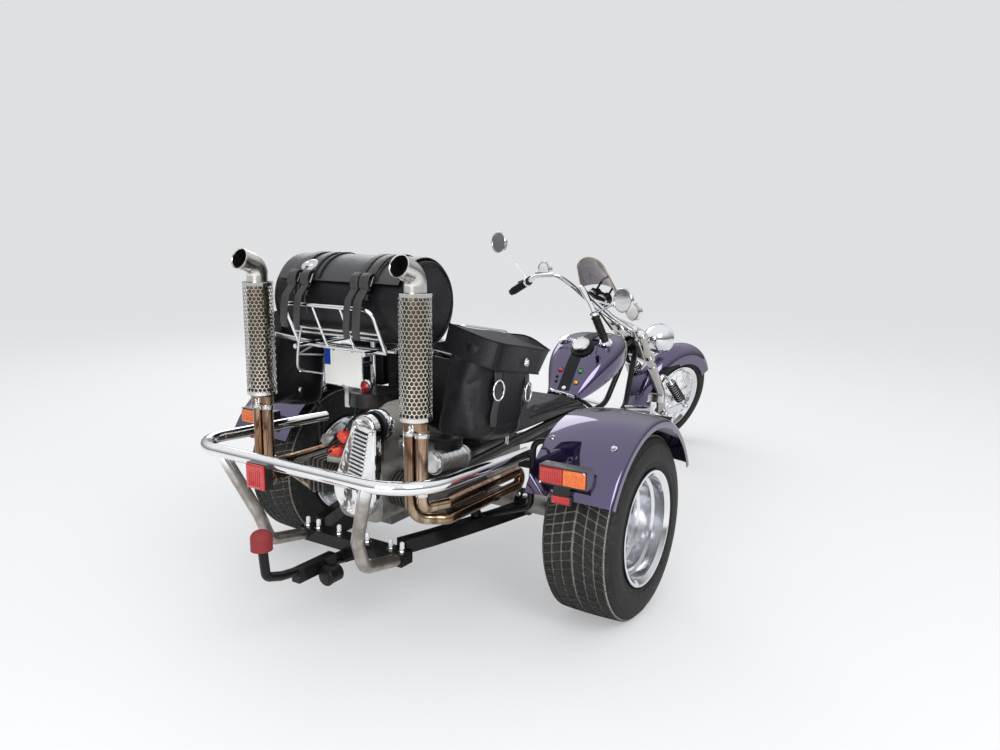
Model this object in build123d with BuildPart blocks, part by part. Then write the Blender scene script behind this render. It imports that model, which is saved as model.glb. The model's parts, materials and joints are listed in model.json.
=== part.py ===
"""A three-wheeled motorcycle with an open air-cooled flat engine behind the rear axle.

Lengths are millimetres. X runs forwards from the rear axle, Y to the rider's left and Z up
from the floor. The last lines move everything so that the origin lies under the middle of
the whole machine. The front end is drawn in a frame of its own, whose Z is the steering
axis and whose X points forwards, and it is set in place turned to the right, as it stands.
"""

import os
from math import asin, cos, radians, sin, sqrt

from build123d import *

os.makedirs("parts", exist_ok=True)

# Running clearances
pin_gap = 0.3
bearing_gap = 0.4

# Rear wheels
rear_tyre_radius = 338
rear_tyre_width = 272
rear_wheel_y = 714
bead_radius = 191
rear_rim_half = 132
rear_lip_radius = 208
bead_flange = 14
wheel_window_count = 8
drum_radius = 122
drum_inner_y = 606
stub_radius = 18
stub_length = 80

# Axle tubes and gearbox
axle_height = rear_tyre_radius
axle_tube_radius = 38
backplate_radius = 118
gearbox_half_width = 105
gearbox_front_x = 400
bellhousing_x = -190

# Frame
rail_width = 40
rail_height = 50
rail_bottom = 292
rail_top = rail_bottom + rail_height
rail_rear_x = -570
rail_path = [
    # x, y
    (rail_rear_x, 188),
    (-450, 228),
    (-314, 266),
    (-140, 310),
    (58, 353),
    (320, 330),
    (700, 235),
    (1250, 95),
]
cross_bars = [
    # x, half length
    (520, 290),
    (1230, 105),
]
axle_clamp_wall = 12
frame_tube_radius = 20
down_tube_radius = 16
seat_tube_height = 505
seat_tube_y = 110
seat_post_x = -250
seat_post_y = 200
backbone_radius = 24
crossmember_length = 470
crossmember_width = 60
crossmember_bottom = rail_bottom - 22
crossmember_top = rail_bottom + 23
crossmember_x = rail_rear_x - crossmember_width / 2

# Steering: the axis meets the floor at steer_x, leaning back by rake
steer_x = 2445
rake = 42
rest_turn = 23
head_tube_radius = 34
stem_radius = 14
upper_yoke_w = 1068
lower_yoke_w = 878
yoke_thickness = 24
head_bottom_w = lower_yoke_w + yoke_thickness
bar_clamp_w = upper_yoke_w + yoke_thickness
fork_half_width = 110
fork_tube_radius = 22
fork_leg_radius = 27
leg_kink_w = 578
leg_foot = (-42, 428)
axle_u = 117
link_pin_radius = 9

# Front wheel
front_tyre_radius = 330
front_tyre_width = 130
front_bead_radius = 203
front_lip_radius = 219
front_rim_half = 58
front_hub_half = 70
front_axle_radius = 9
spoke_count = 32
spoke_radius = 2.2
crown_radius = 62

# Handlebar and what it carries: heights are measured up the steering axis from the bar's clamps
bar_radius = 13
bar_points = [
    # forwards, outwards, height
    (0, 62, 0),
    (-110, 55, 238),
    (-205, 50, 508),
    (-238, 90, 598),
    (-292, 200, 588),
    (-388, 363, 478),
]
grip_radius = 18
mirror_radius = 55
indicator_radius = 44
screen_wall = 4
lamp_u = 180
lamp_over_axle = 487.458
lamp_radius = 84

# Rear fenders
fender_center = (-30, axle_height)
fender_radius = 395
fender_angles = (24, 152)
fender_inner_y = 556
fender_outer_y = 872
fender_sheet = 3
stay_radius = 11

# Engine: the crankshaft lies along X
crank_height = 485
engine_rear_x = -562
case_half_width = 100
cylinder_xs = (-482, -344)
cylinder_radius = 48
fin_radius = 64
fin_count = 5
fin_thickness = 5
fin_pitch = 16
head_start_y = 184
head_length = 106
head_height = 128
cover_length = 62
generator_y = -46
generator_height = 704
generator_radius = 56

# Exhaust stacks
stack_x = -680
stack_y = 340
stack_pipe_radius = 19
stack_pipe_spacing = 46
shield_radius = 51
shield_wall = 2
shield_bottom = 800
shield_top = 1190
tip_radius = 36
tip_bore = 33

# Tow ball
ball_radius = 25
ball_x = -1007
ball_height = 440
tow_tube_radius = 15
socket_radius = 29

# Bumper
bumper_radius = 21
bumper_rear_x = -887
bumper_half_width = 479
bumper_height = 642
pushed_in = 80
hoop_y = 212

# Luggage
roll_radius = 145
roll_right_y = -287
roll_length = 557
roll_center = (-540, 1140)
bag_length = 300
bag_top = (-550, 1085)
bag_thickness = 178
bag_height = 345
bag_inner_y = 363
rack_height = roll_center[1] - roll_radius - pin_gap
rack_tube_radius = 8
rack_bar_radius = 6.5
bag_rail_radius = 11
bag_rail_y = bag_inner_y - bag_rail_radius - pin_gap
lid_overhang = 45
lid_thickness = 8

# Seat
seat_bottom = seat_tube_height + backbone_radius + pin_gap
seat_half_width = 165
backrest_top = seat_bottom + 456

# Tank: heights are measured from the seat tubes
tank_sections = [
    # x, half width, bottom, top
    (930, 84, 27, 61),
    (1040, 140, 40, 195),
    (1180, 184, 90, 295),
    (1380, 150, 143, 313),
    (1500, 96, 175, 287),
    (1575, 60, 197, 247),
]


def steering_place():
    """Where the front end's frame stands: on the floor, leant back and turned right."""
    lean, turn = radians(rake), radians(rest_turn)
    forward = (cos(turn) * cos(lean), -sin(turn), cos(turn) * sin(lean))
    return Plane(origin=(steer_x, 0, 0), x_dir=forward, z_dir=(-sin(lean), 0, cos(lean))).location


def steering_straight():
    """The steering frame with the wheel straight ahead, for what stays on the chassis."""
    lean = radians(rake)
    return Plane(
        origin=(steer_x, 0, 0),
        x_dir=(cos(lean), 0, sin(lean)),
        z_dir=(-sin(lean), 0, cos(lean)),
    ).location


def axle_height_on_axis():
    """Distance of the front axle along the steering axis that puts the turned tyre on the floor."""
    lean, turn = radians(rake), radians(rest_turn)
    tilt = asin(sin(turn) * sin(lean))
    center = (front_tyre_radius - crown_radius) * cos(tilt) + crown_radius
    return (center - axle_u * cos(turn) * sin(lean)) / cos(lean)


axle_w = axle_height_on_axis()
lamp_w = axle_w + lamp_over_axle
steering = steering_place()
straight = steering_straight()


def at_head(u, v, w):
    """A point beside the steering axis, wheel straight ahead, in the whole machine's frame."""
    lean = radians(rake)
    return (steer_x + u * cos(lean) - w * sin(lean), v, u * sin(lean) + w * cos(lean))


def rail_y(x):
    """Distance of a rail's middle from the centre line at x."""
    for (x0, y0), (x1, y1) in zip(rail_path, rail_path[1:]):
        if x <= x1:
            break
    return y0 + (y1 - y0) * (x - x0) / (x1 - x0)


def tube(points, radius, bend):
    """A round tube along a line of points, its corners bent to one radius."""
    with BuildPart() as bar:
        with BuildLine() as path:
            if bend:
                FilletPolyline(*points, radius=bend)
            else:
                Polyline(*points)
        with BuildSketch(Plane(origin=path.line @ 0, z_dir=path.line % 0)):
            Circle(radius)
        sweep()
    return bar.part


def rod(start, end, radius):
    """A straight round bar between two points."""
    direction = Vector(*end) - Vector(*start)
    with BuildPart() as bar:
        with BuildSketch(Plane(origin=start, z_dir=direction)):
            Circle(radius)
        extrude(amount=direction.length)
    return bar.part


def wheel_plane(side):
    """Sketch plane of a rear wheel: X points outboard, Y is the radius."""
    return Plane(origin=(0, side * rear_wheel_y, axle_height), x_dir=(0, side, 0), z_dir=(side, 0, 0))


def tyre_section(half_width, radius, bead, crown_half, bulge_radius):
    """Half of a tyre's cross-section, mirrored about its middle."""
    bead_half = half_width - bead_flange - 6
    with BuildLine() as outline:
        Line((0, bead), (bead_half, bead))
        Line((bead_half, bead), (bead_half, bead + 18))
        ThreePointArc(
            (bead_half, bead + 18), (half_width, bulge_radius), (crown_half + 14, radius - 20)
        )
        ThreePointArc(
            (crown_half + 14, radius - 20), (crown_half + 10, radius - 7), (crown_half, radius - 3)
        )
        ThreePointArc((crown_half, radius - 3), (crown_half / 2, radius - 0.8), (0, radius))
        mirror(about=Plane.YZ)
    return outline.line


def rear_tyre(side):
    """Wide road tyre."""
    with BuildPart() as tyre:
        with BuildSketch(wheel_plane(side)):
            add(tyre_section(rear_tyre_width / 2, rear_tyre_radius, bead_radius, 106, 268))
            make_face()
        revolve(axis=Axis((0, 0, axle_height), (0, 1, 0)))
    return tyre.part


def rear_wheel(side):
    """Deep-dish rim with a stepped barrel, a windowed centre, its drum and stub shaft."""
    flat = rear_rim_half - bead_flange
    inboard = drum_inner_y - rear_wheel_y
    axis = Axis((0, 0, axle_height), (0, 1, 0))
    with BuildPart() as wheel:
        with BuildSketch(wheel_plane(side)):
            with BuildLine():
                Polyline(
                    (flat, bead_radius),
                    (flat + 6, rear_lip_radius),
                    (rear_rim_half, rear_lip_radius),
                    (rear_rim_half, rear_lip_radius - 8),
                    (rear_rim_half - 12, 186),
                    (82, 184),
                    (74, 172),
                    (30, 170),
                    (22, 158),
                    (-5, 156),
                    (-5, 62),
                    (12, 52),
                    (12, 0),
                    (-16, 0),
                    (-16, 156),
                    (-24, 170),
                    (-flat, 184),
                    (-rear_rim_half, 200),
                    (-rear_rim_half, rear_lip_radius),
                    (-flat - 6, rear_lip_radius),
                    (-flat, bead_radius),
                    close=True,
                )
            make_face()
        revolve(axis=axis)
        with BuildSketch(Plane(origin=(0, side * rear_wheel_y, axle_height), z_dir=(0, side, 0))):
            with PolarLocations(112, wheel_window_count):
                RectangleRounded(52, 46, 14)
        extrude(amount=-40, mode=Mode.SUBTRACT)
        with BuildSketch(Plane(origin=(0, side * drum_inner_y, axle_height), z_dir=(0, side, 0))):
            Circle(drum_radius)
        extrude(amount=-16 - inboard)
        with BuildSketch(Plane(origin=(0, side * drum_inner_y, axle_height), z_dir=(0, side, 0))):
            Circle(stub_radius)
        extrude(amount=-stub_length)
    return wheel.part


def transaxle():
    """Gearbox with its bellhousing, final drive and the two axle tubes."""
    tube_end = drum_inner_y - 14
    with BuildPart() as box:
        with BuildSketch(Plane.YZ.offset(bellhousing_x)):
            with Locations((0, crank_height)):
                Circle(150)
        extrude(amount=70, taper=18)
        with BuildSketch(Plane.YZ.offset(bellhousing_x + 40)):
            with Locations((0, crank_height - 65)):
                RectangleRounded(2 * gearbox_half_width, 190, 45)
        extrude(amount=gearbox_front_x - 60 - bellhousing_x - 40)
        with BuildSketch(Plane.YZ.offset(gearbox_front_x - 60)):
            with Locations((0, crank_height - 65)):
                RectangleRounded(150, 130, 40)
        extrude(amount=60)
        with BuildSketch(Plane.XZ.offset(-tube_end)):
            with Locations((0, axle_height)):
                Circle(axle_tube_radius)
        extrude(amount=2 * tube_end)
        for side in (-1, 1):
            with BuildSketch(Plane(origin=(0, side * tube_end, axle_height), z_dir=(0, -side, 0))):
                Circle(backplate_radius)
            extrude(amount=8)
            with BuildSketch(Plane(origin=(0, side * gearbox_half_width, axle_height), z_dir=(0, side, 0))):
                Circle(92)
            extrude(amount=50, taper=38)
            with BuildSketch(Plane(origin=(0, side * tube_end, axle_height), z_dir=(0, -side, 0))):
                Circle(stub_radius + pin_gap)
            extrude(amount=stub_length, mode=Mode.SUBTRACT)
    return box.part


def frame_rails():
    """Two box rails with their cross bars, axle clamps and the plate across their rear ends."""
    with BuildPart() as rails:
        with BuildSketch(Plane.XY.offset(rail_bottom)):
            with BuildLine():
                Polyline((crossmember_x, rail_path[0][1]), *rail_path)
            trace(line_width=rail_width)
            mirror(about=Plane.XZ)
        extrude(amount=rail_height)
        split(bisect_by=Plane.YZ.offset(rail_rear_x), keep=Keep.TOP)
        for x, half in cross_bars:
            with Locations((x, 0, rail_bottom + 20)):
                Box(36, 2 * half, 36)
        with Locations((crossmember_x, 0, crossmember_bottom)):
            Box(
                crossmember_width,
                crossmember_length,
                crossmember_top - crossmember_bottom,
                align=(Align.CENTER, Align.CENTER, Align.MIN),
            )
        for side in (-1, 1):
            inner = side * (rail_y(0) - rail_width / 2 - 4)
            with BuildSketch(Plane(origin=(0, inner, axle_height), z_dir=(0, side, 0))):
                Circle(axle_tube_radius + axle_clamp_wall)
            extrude(amount=rail_width + 8)
        with BuildSketch(Plane.XZ.offset(-600)):
            with Locations((0, axle_height)):
                Circle(axle_tube_radius + pin_gap)
        extrude(amount=1200, mode=Mode.SUBTRACT)
    return rails.part


def upper_frame(rails):
    """Seat tubes, backbone, down tubes and the steering head, welded to the rails."""
    head_length = upper_yoke_w - head_bottom_w
    head_bottom = straight * Pos(0, 0, head_bottom_w + bearing_gap)
    with BuildPart() as upper:
        for side in (-1, 1):
            add(
                tube(
                    [
                        (seat_post_x, side * rail_y(seat_post_x), rail_top),
                        (seat_post_x, side * seat_post_y, seat_tube_height),
                        (940, side * seat_tube_y, seat_tube_height),
                        (1080, side * rail_y(1080), rail_top),
                    ],
                    frame_tube_radius,
                    70,
                )
            )
            add(
                tube(
                    [
                        (1200, side * rail_y(1200), rail_top - 10),
                        (1590, side * 62, rail_top + 40),
                        at_head(-17, side * 22, head_bottom_w + 0.25 * head_length),
                    ],
                    down_tube_radius,
                    120,
                )
            )
        add(rod((620, -130, seat_tube_height), (620, 130, seat_tube_height), 14))
        backbone = [
            (620, 0, seat_tube_height),
            (1010, 0, seat_tube_height),
            at_head(-28, 0, head_bottom_w + 0.68 * head_length),
        ]
        add(tube(backbone, backbone_radius, 150))
        with Locations(head_bottom):
            Cylinder(
                head_tube_radius,
                head_length - 2 * bearing_gap,
                align=(Align.CENTER, Align.CENTER, Align.MIN),
            )
            Cylinder(
                stem_radius + pin_gap,
                head_length + yoke_thickness,
                align=(Align.CENTER, Align.CENTER, Align.MIN),
                mode=Mode.SUBTRACT,
            )
        add(rails, mode=Mode.SUBTRACT)
    return upper.part


def tow_bar():
    """Swan neck with its ball, a square sleeve and the round plug socket beside it."""
    sleeve_x = -790
    with BuildPart() as bar:
        with Locations((crossmember_x, 0, crossmember_bottom)):
            Box(150, 70, 12, align=(Align.CENTER, Align.CENTER, Align.MAX))
        neck = [
            (crossmember_x, 0, crossmember_bottom - 22),
            (-761, 0, crossmember_bottom + 5),
            (-936, 0, crossmember_bottom + 29),
            (ball_x + 12, 0, crossmember_bottom + 48),
            (ball_x, 0, ball_height),
        ]
        add(tube(neck, tow_tube_radius, 26))
        with Locations((sleeve_x, 0, crossmember_bottom + 6)):
            Box(170, 34, 46)
        with Locations((sleeve_x + 34, -34, crossmember_bottom - 8)):
            Box(12, 50, 40)
        with BuildSketch(Plane.YZ.offset(sleeve_x + 3)):
            with Locations((-50, crossmember_bottom - 17)):
                Circle(socket_radius)
        extrude(amount=50)
        with Locations((ball_x, 0, ball_height)):
            Sphere(ball_radius)
    return bar.part


def ball_cap():
    """Soft red cover over the tow ball."""
    bore = ball_radius + pin_gap
    with BuildPart() as cap:
        with Locations((ball_x, 0, ball_height - 28)):
            Cylinder(bore + 8, 61, align=(Align.CENTER, Align.CENTER, Align.MIN))
        fillet(cap.edges().group_by(Axis.Z)[-1], 24)
        with Locations((ball_x, 0, ball_height)):
            Sphere(bore, mode=Mode.SUBTRACT)
            Cylinder(bore, 28, align=(Align.CENTER, Align.CENTER, Align.MAX), mode=Mode.SUBTRACT)
    return cap.part


def bumper(rails, stays):
    """Chrome loop round the rear, its left corner pushed in, with two hoops down to the frame."""
    arm_x = -235
    arm_z = bumper_height - 30
    loop_points = [
        (arm_x, bumper_half_width, arm_z),
        (bumper_rear_x + pushed_in, bumper_half_width, bumper_height),
        (bumper_rear_x, bumper_half_width - pushed_in, bumper_height),
        (bumper_rear_x, -bumper_half_width, bumper_height),
        (arm_x, -bumper_half_width, arm_z),
    ]
    with BuildPart() as loop:
        add(tube(loop_points, bumper_radius, [130, 130, 170]))
        for side in (-1, 1):
            hoop = [
                (bumper_rear_x, side * (hoop_y + 106), bumper_height),
                (bumper_rear_x + 65, side * (hoop_y + 6), 420),
                (bumper_rear_x + 102, side * hoop_y, crossmember_top + 7),
                (crossmember_x - 22, side * hoop_y, crossmember_top - 23),
            ]
            add(tube(hoop, bumper_radius, 50))
        add(rails, mode=Mode.SUBTRACT)
        add(stays, mode=Mode.SUBTRACT)
    return loop.part


def crankcase():
    """Case with its sump, pulley boss and the stand for the generator."""
    with BuildPart() as case:
        with BuildSketch(Plane.YZ.offset(engine_rear_x)):
            with Locations((0, crank_height - 10)):
                RectangleRounded(2 * case_half_width, 210, 40)
        extrude(amount=bellhousing_x - engine_rear_x)
        with BuildSketch(Plane.YZ.offset(engine_rear_x + 60)):
            with Locations((0, crank_height - 105)):
                Trapezoid(180, 60, 75)
        extrude(amount=280)
        with BuildSketch(Plane.YZ.offset(engine_rear_x + 50)):
            with Locations((generator_y / 2, (crank_height + generator_height) / 2 + 10)):
                RectangleRounded(90, 200, 20)
        extrude(amount=78)
        with BuildSketch(Plane.YZ.offset(engine_rear_x)):
            with Locations((0, crank_height)):
                Circle(34)
        extrude(amount=-12)
        with BuildSketch(Plane.YZ.offset(engine_rear_x)):
            with Locations((generator_y, generator_height)):
                Circle(generator_radius + pin_gap)
        extrude(amount=300, mode=Mode.SUBTRACT)
    return case.part


def cylinder_bank(side):
    """Two finned barrels, their finned head and the pressed rocker cover."""
    base = Plane(origin=(0, side * case_half_width, crank_height), x_dir=(1, 0, 0), z_dir=(0, side, 0))
    middle = sum(cylinder_xs) / 2
    head_span = cylinder_xs[1] - cylinder_xs[0] + 2 * fin_radius + 10
    with BuildPart() as bank:
        with BuildSketch(base):
            for x in cylinder_xs:
                with Locations((x, 0)):
                    Circle(cylinder_radius)
        extrude(amount=head_start_y - case_half_width)
        for index in range(fin_count):
            with BuildSketch(base.offset(8 + index * fin_pitch)):
                for x in cylinder_xs:
                    with Locations((x, 0)):
                        Circle(fin_radius)
            extrude(amount=fin_thickness)
        with BuildSketch(base.offset(head_start_y - case_half_width)):
            with Locations((middle, 0)):
                RectangleRounded(head_span - 30, head_height - 30, 10)
        extrude(amount=head_length)
        for index in range(4):
            with BuildSketch(base.offset(head_start_y - case_half_width + 4 + index * 22)):
                with Locations((middle, 0)):
                    RectangleRounded(head_span, head_height, 12)
            extrude(amount=7)
        with BuildSketch(base.offset(head_start_y - case_half_width + head_length)):
            with Locations((middle, 0)):
                RectangleRounded(head_span - 6, head_height - 34, 30)
        extrude(amount=cover_length, taper=8)
    return bank.part


def belt_guard():
    """Louvred guard over the belt: a tray over both pulleys, open towards the engine."""
    depth = 34
    wall = 3
    back_x = engine_rear_x
    bottom_radius = 96
    top_radius = 52
    length = sqrt(generator_y**2 + (generator_height - crank_height) ** 2)
    face = Plane(
        origin=(back_x, 0, crank_height),
        x_dir=(0, -(generator_height - crank_height) / length, generator_y / length),
        z_dir=(-1, 0, 0),
    )
    with BuildPart() as guard:
        with BuildSketch(face):
            with Locations((0, 0)):
                Circle(bottom_radius)
            with Locations((0, length)):
                Circle(top_radius)
            make_hull()
        extrude(amount=depth)
        fillet(guard.faces().sort_by(Axis.X)[0].edges(), 10)
        with BuildSketch(face):
            with Locations((0, 0)):
                Circle(bottom_radius - wall)
            with Locations((0, length)):
                Circle(top_radius - wall)
            make_hull()
        extrude(amount=depth - wall, mode=Mode.SUBTRACT)
        with BuildSketch(face.offset(depth)):
            with Locations(*[(-4, 50 + index * 19) for index in range(8)]):
                SlotOverall(64, 8, rotation=-18)
        extrude(amount=-wall - 8, mode=Mode.SUBTRACT)
    return guard.part


def alternator():
    """Alternator body in its strap, on the engine's stand."""
    axis_plane = Plane.YZ.offset(engine_rear_x + 20)
    with BuildPart() as body:
        with BuildSketch(axis_plane):
            with Locations((generator_y, generator_height)):
                Circle(generator_radius)
        extrude(amount=110)
        with BuildSketch(axis_plane.offset(110)):
            with Locations((generator_y, generator_height)):
                Circle(generator_radius + 12)
        extrude(amount=50)
        with BuildSketch(axis_plane.offset(0)):
            with Locations((generator_y, generator_height)):
                Circle(14)
        extrude(amount=-24)
        with BuildSketch(axis_plane.offset(-24)):
            with Locations((generator_y, generator_height)):
                Circle(38)
        extrude(amount=-18)
    return body.part


def distributor(case):
    """Distributor leaning out of the case, with its cap."""
    with BuildPart() as body:
        add(rod((-512, 66, 560), (-530, 104, 622), 21))
        add(rod((-530, 104, 622), (-544, 134, 668), 33))
        add(case, mode=Mode.SUBTRACT)
    return body.part


def intake():
    """Manifold across both heads with carburettor, air cleaner and the silver air duct."""
    head_top = crank_height + head_height / 2
    x = -345
    with BuildPart() as pipes:
        add(
            tube(
                [(x, -238, head_top), (x, -238, 640), (x, 238, 640), (x, 238, head_top)],
                17,
                45,
            )
        )
        with Locations((x, 120, 640)):
            Box(70, 84, 90, align=(Align.CENTER, Align.CENTER, Align.MIN))
        with Locations((x, 120, 730)):
            Cylinder(92, 52, align=(Align.CENTER, Align.CENTER, Align.MIN))
        add(rod((-505, -272, 606), (-320, -272, 590), 36))
    return pipes.part


def exhaust(side, bank):
    """Two header pipes looped past the rocker cover and up to one open stack."""
    outer = side * (stack_y + stack_pipe_spacing / 2)
    inner = side * (stack_y - stack_pipe_spacing / 2)
    loop_y = side * 392
    upper_run = crank_height + 31
    lower_run = crank_height - 23
    header_loop = [
        (stack_x, outer, shield_bottom - 20),
        (stack_x, outer, upper_run + 4),
        (stack_x + 90, loop_y, upper_run),
        (-135, loop_y, upper_run - 7),
        (-135, loop_y, upper_run - 61),
        (stack_x + 95, loop_y, lower_run),
        (stack_x, inner, lower_run + 16),
        (stack_x, inner, shield_bottom - 20),
    ]
    stack = [
        (stack_x, side * stack_y, shield_bottom - 6),
        (stack_x, side * stack_y, shield_top + 54),
        (stack_x - 74, side * stack_y, shield_top + 82),
    ]
    with BuildPart() as pipes:
        add(tube(header_loop, stack_pipe_radius, [26, 26, 26, 26, 40, 60]))
        add(rod((-500, loop_y, lower_run - 3), (-500, side * 262, crank_height - 73), 17))
        with BuildSketch(Plane.XY.offset(shield_bottom - 30)):
            for y in (outer, inner):
                with Locations((stack_x, y)):
                    Circle(stack_pipe_radius + 3)
            make_hull()
        extrude(amount=24)
        add(tube(stack, tip_radius, 48))
        mouth = (stack_x - 30, side * stack_y, shield_top + 65.5)
        beyond = (stack_x - 94, side * stack_y, shield_top + 89.5)
        add(rod(mouth, beyond, tip_bore), mode=Mode.SUBTRACT)
        add(bank, mode=Mode.SUBTRACT)
    return pipes.part


def heat_shield(side):
    """Guard tube round a stack, on a ring at each end; its holes are in the finished model."""
    height = shield_top - shield_bottom
    with BuildPart() as shield:
        with Locations((stack_x, side * stack_y, shield_bottom)):
            Cylinder(shield_radius, height, align=(Align.CENTER, Align.CENTER, Align.MIN))
            Cylinder(
                shield_radius - shield_wall,
                height,
                align=(Align.CENTER, Align.CENTER, Align.MIN),
                mode=Mode.SUBTRACT,
            )
        for z in (shield_bottom, shield_top - 4):
            with BuildSketch(Plane.XY.offset(z)):
                with Locations((stack_x, side * stack_y)):
                    Circle(shield_radius)
                    Circle(tip_radius, mode=Mode.SUBTRACT)
            extrude(amount=4)
    return shield.part


def rear_fender(side):
    """Rolled steel fender over a rear wheel, with a turned-down outer lip."""
    start = radians(fender_angles[0])
    plane = Plane(
        origin=(fender_center[0], 0, fender_center[1]),
        x_dir=(0, side, 0),
        z_dir=(side * sin(start), 0, -side * cos(start)),
    )
    with BuildPart() as fender:
        with BuildSketch(plane):
            with BuildLine():
                ThreePointArc((fender_inner_y, 398), (714, 415), (856, 402))
                ThreePointArc((856, 402), (867, 397), (fender_outer_y, 386))
                Line((fender_outer_y, 386), (fender_outer_y, 370))
                Line((fender_outer_y, 370), (fender_outer_y - fender_sheet, 370))
                Line((fender_outer_y - fender_sheet, 370), (fender_outer_y - fender_sheet, 385))
                ThreePointArc((fender_outer_y - fender_sheet, 385), (865, 394.5), (855, 399))
                ThreePointArc((855, 399), (714, 412), (fender_inner_y, 395))
                Line((fender_inner_y, 395), (fender_inner_y, 398))
            make_face()
        revolve(
            axis=Axis((fender_center[0], 0, fender_center[1]), (0, -1, 0)),
            revolution_arc=fender_angles[1] - fender_angles[0],
        )
    return fender.part


def under_fender(x):
    """Height of a stay that is welded up against a rear fender's inside at x."""
    reach = fender_radius - stay_radius + 1.5
    return fender_center[1] + sqrt(reach**2 - (x - fender_center[0]) ** 2)


def fender_stays(fenders, rails):
    """Tubes from the rails that carry the fenders and the bumper's arms."""
    with BuildPart() as stays:
        for side in (-1, 1):
            add(
                tube(
                    [
                        (110, side * 335, rail_top - 20),
                        (110, side * 505, rail_top + 130),
                        (70, side * 505, under_fender(70)),
                        (70, side * 850, under_fender(70)),
                    ],
                    stay_radius,
                    40,
                )
            )
            add(
                tube(
                    [
                        (-200, side * 250, rail_top - 20),
                        (-240, side * 500, 420),
                        (-235, side * 505, under_fender(-235)),
                        (-235, side * 850, under_fender(-235)),
                    ],
                    stay_radius,
                    40,
                )
            )
        for neighbour in (*fenders, rails):
            add(neighbour, mode=Mode.SUBTRACT)
    return stays.part


def rear_lamps(fenders, bumper_loop):
    """Box lamps on the fenders with reflectors under them, and the fog lamp on the bumper."""
    with BuildPart() as lamps:
        for side in (-1, 1):
            with Locations((-372, side * 704, 606)):
                Box(50, 172, 62)
            with Locations((-396, side * 704, 533)):
                Box(18, 72, 30)
            with BuildSketch(Plane.XZ.offset(-side * 672)):
                with BuildLine():
                    Polyline(
                        (-390, 520), (-352, 560), (-352, 575), (-397, 575), (-402, 548), (-402, 520), close=True
                    )
                make_face()
            extrude(amount=-side * 60)
        with Locations((bumper_rear_x - 24, 104, bumper_height - 38)):
            Box(30, 84, 84)
        with Locations((bumper_rear_x - 12, 104, bumper_height - 18)):
            Box(14, 24, 24)
        for neighbour in (*fenders, bumper_loop):
            add(neighbour, mode=Mode.SUBTRACT)
    return lamps.part


def seat():
    """One long cushion, raised at the back for the passenger, with the passenger's backrest."""
    over_engine = crank_height + 165
    with BuildPart() as cushion:
        with BuildSketch(Plane.XZ.offset(-seat_half_width)):
            with BuildLine():
                Polyline(
                    (-225, over_engine),
                    (-236, backrest_top),
                    (-184, backrest_top),
                    (-150, seat_bottom + 216),
                    (250, seat_bottom + 201),
                    (330, seat_bottom + 111),
                    (430, seat_bottom + 75),
                    (780, seat_bottom + 67),
                    (890, seat_bottom + 11),
                    (880, seat_bottom),
                    (-40, seat_bottom),
                    (-90, over_engine),
                    close=True,
                )
            make_face()
        extrude(amount=2 * seat_half_width)
        padded = cushion.edges().filter_by(Axis.Y)
        fillet(padded.filter_by_position(Axis.Z, seat_bottom + 60, backrest_top + 10), 22)
    return cushion.part


def luggage_rack(upper):
    """Chrome rack: posts, bearers, a fence behind the roll, bag rails and two hand rails."""
    bearer = rack_height - rack_tube_radius
    hand_rail_y = seat_half_width + 25
    with BuildPart() as rack:
        for side in (-1, 1):
            post_y = side * seat_post_y
            add(rod((seat_post_x, post_y, seat_tube_height), (seat_post_x, post_y, bearer), 12))
            add(rod((-700, side * 150, bearer), (seat_post_x + 6, side * 150, bearer), rack_tube_radius))
            add(rod((seat_post_x, side * 145, bearer), (seat_post_x, post_y, bearer), rack_bar_radius))
            bag_rail = [
                (seat_post_x, side * (seat_post_y - 4), bag_top[1] - 185),
                (seat_post_x, side * bag_rail_y, bag_top[1] - 185),
                (bag_top[0] - 55, side * bag_rail_y, bag_top[1] - 85),
            ]
            add(tube(bag_rail, bag_rail_radius, 40))
            hand_rail = [
                (seat_post_x, side * hand_rail_y, bearer - 1.4),
                (seat_post_x + 35, side * hand_rail_y, backrest_top + 45),
                (90, side * hand_rail_y, backrest_top - 10),
                (110, side * (hand_rail_y - 5), seat_bottom + 201),
                (110, side * (hand_rail_y - 5), seat_bottom + 111),
                (110, side * (hand_rail_y - 10), seat_tube_height),
            ]
            add(tube(hand_rail, 9, 30))
            add(rod((-640, side * 60, bearer), (-706, side * 60, rack_height + 135), 5))
        fence = [
            (-640, 190, bearer),
            (-706, 190, rack_height + 135),
            (-706, -190, rack_height + 135),
            (-640, -190, bearer),
        ]
        add(tube(fence, 7, 35))
        for x in (-640, -600, -440):
            add(rod((x, -196, bearer), (x, 196, bearer), rack_bar_radius))
        add(upper, mode=Mode.SUBTRACT)
    return rack.part


def roll_bag():
    """Leather roll lying across the rack, round above and flat where it rests."""
    x, z = roll_center
    with BuildPart() as roll:
        with BuildSketch(Plane.XZ.offset(-roll_right_y - roll_length)) as section:
            with Locations(roll_center):
                Circle(roll_radius)
            with Locations((x + 14, z - roll_radius)):
                Rectangle(208, roll_radius, align=(Align.CENTER, Align.MIN))
            fillet(section.vertices().group_by(Axis.Y)[0], 26)
        extrude(amount=roll_length)
    return roll.part


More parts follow.
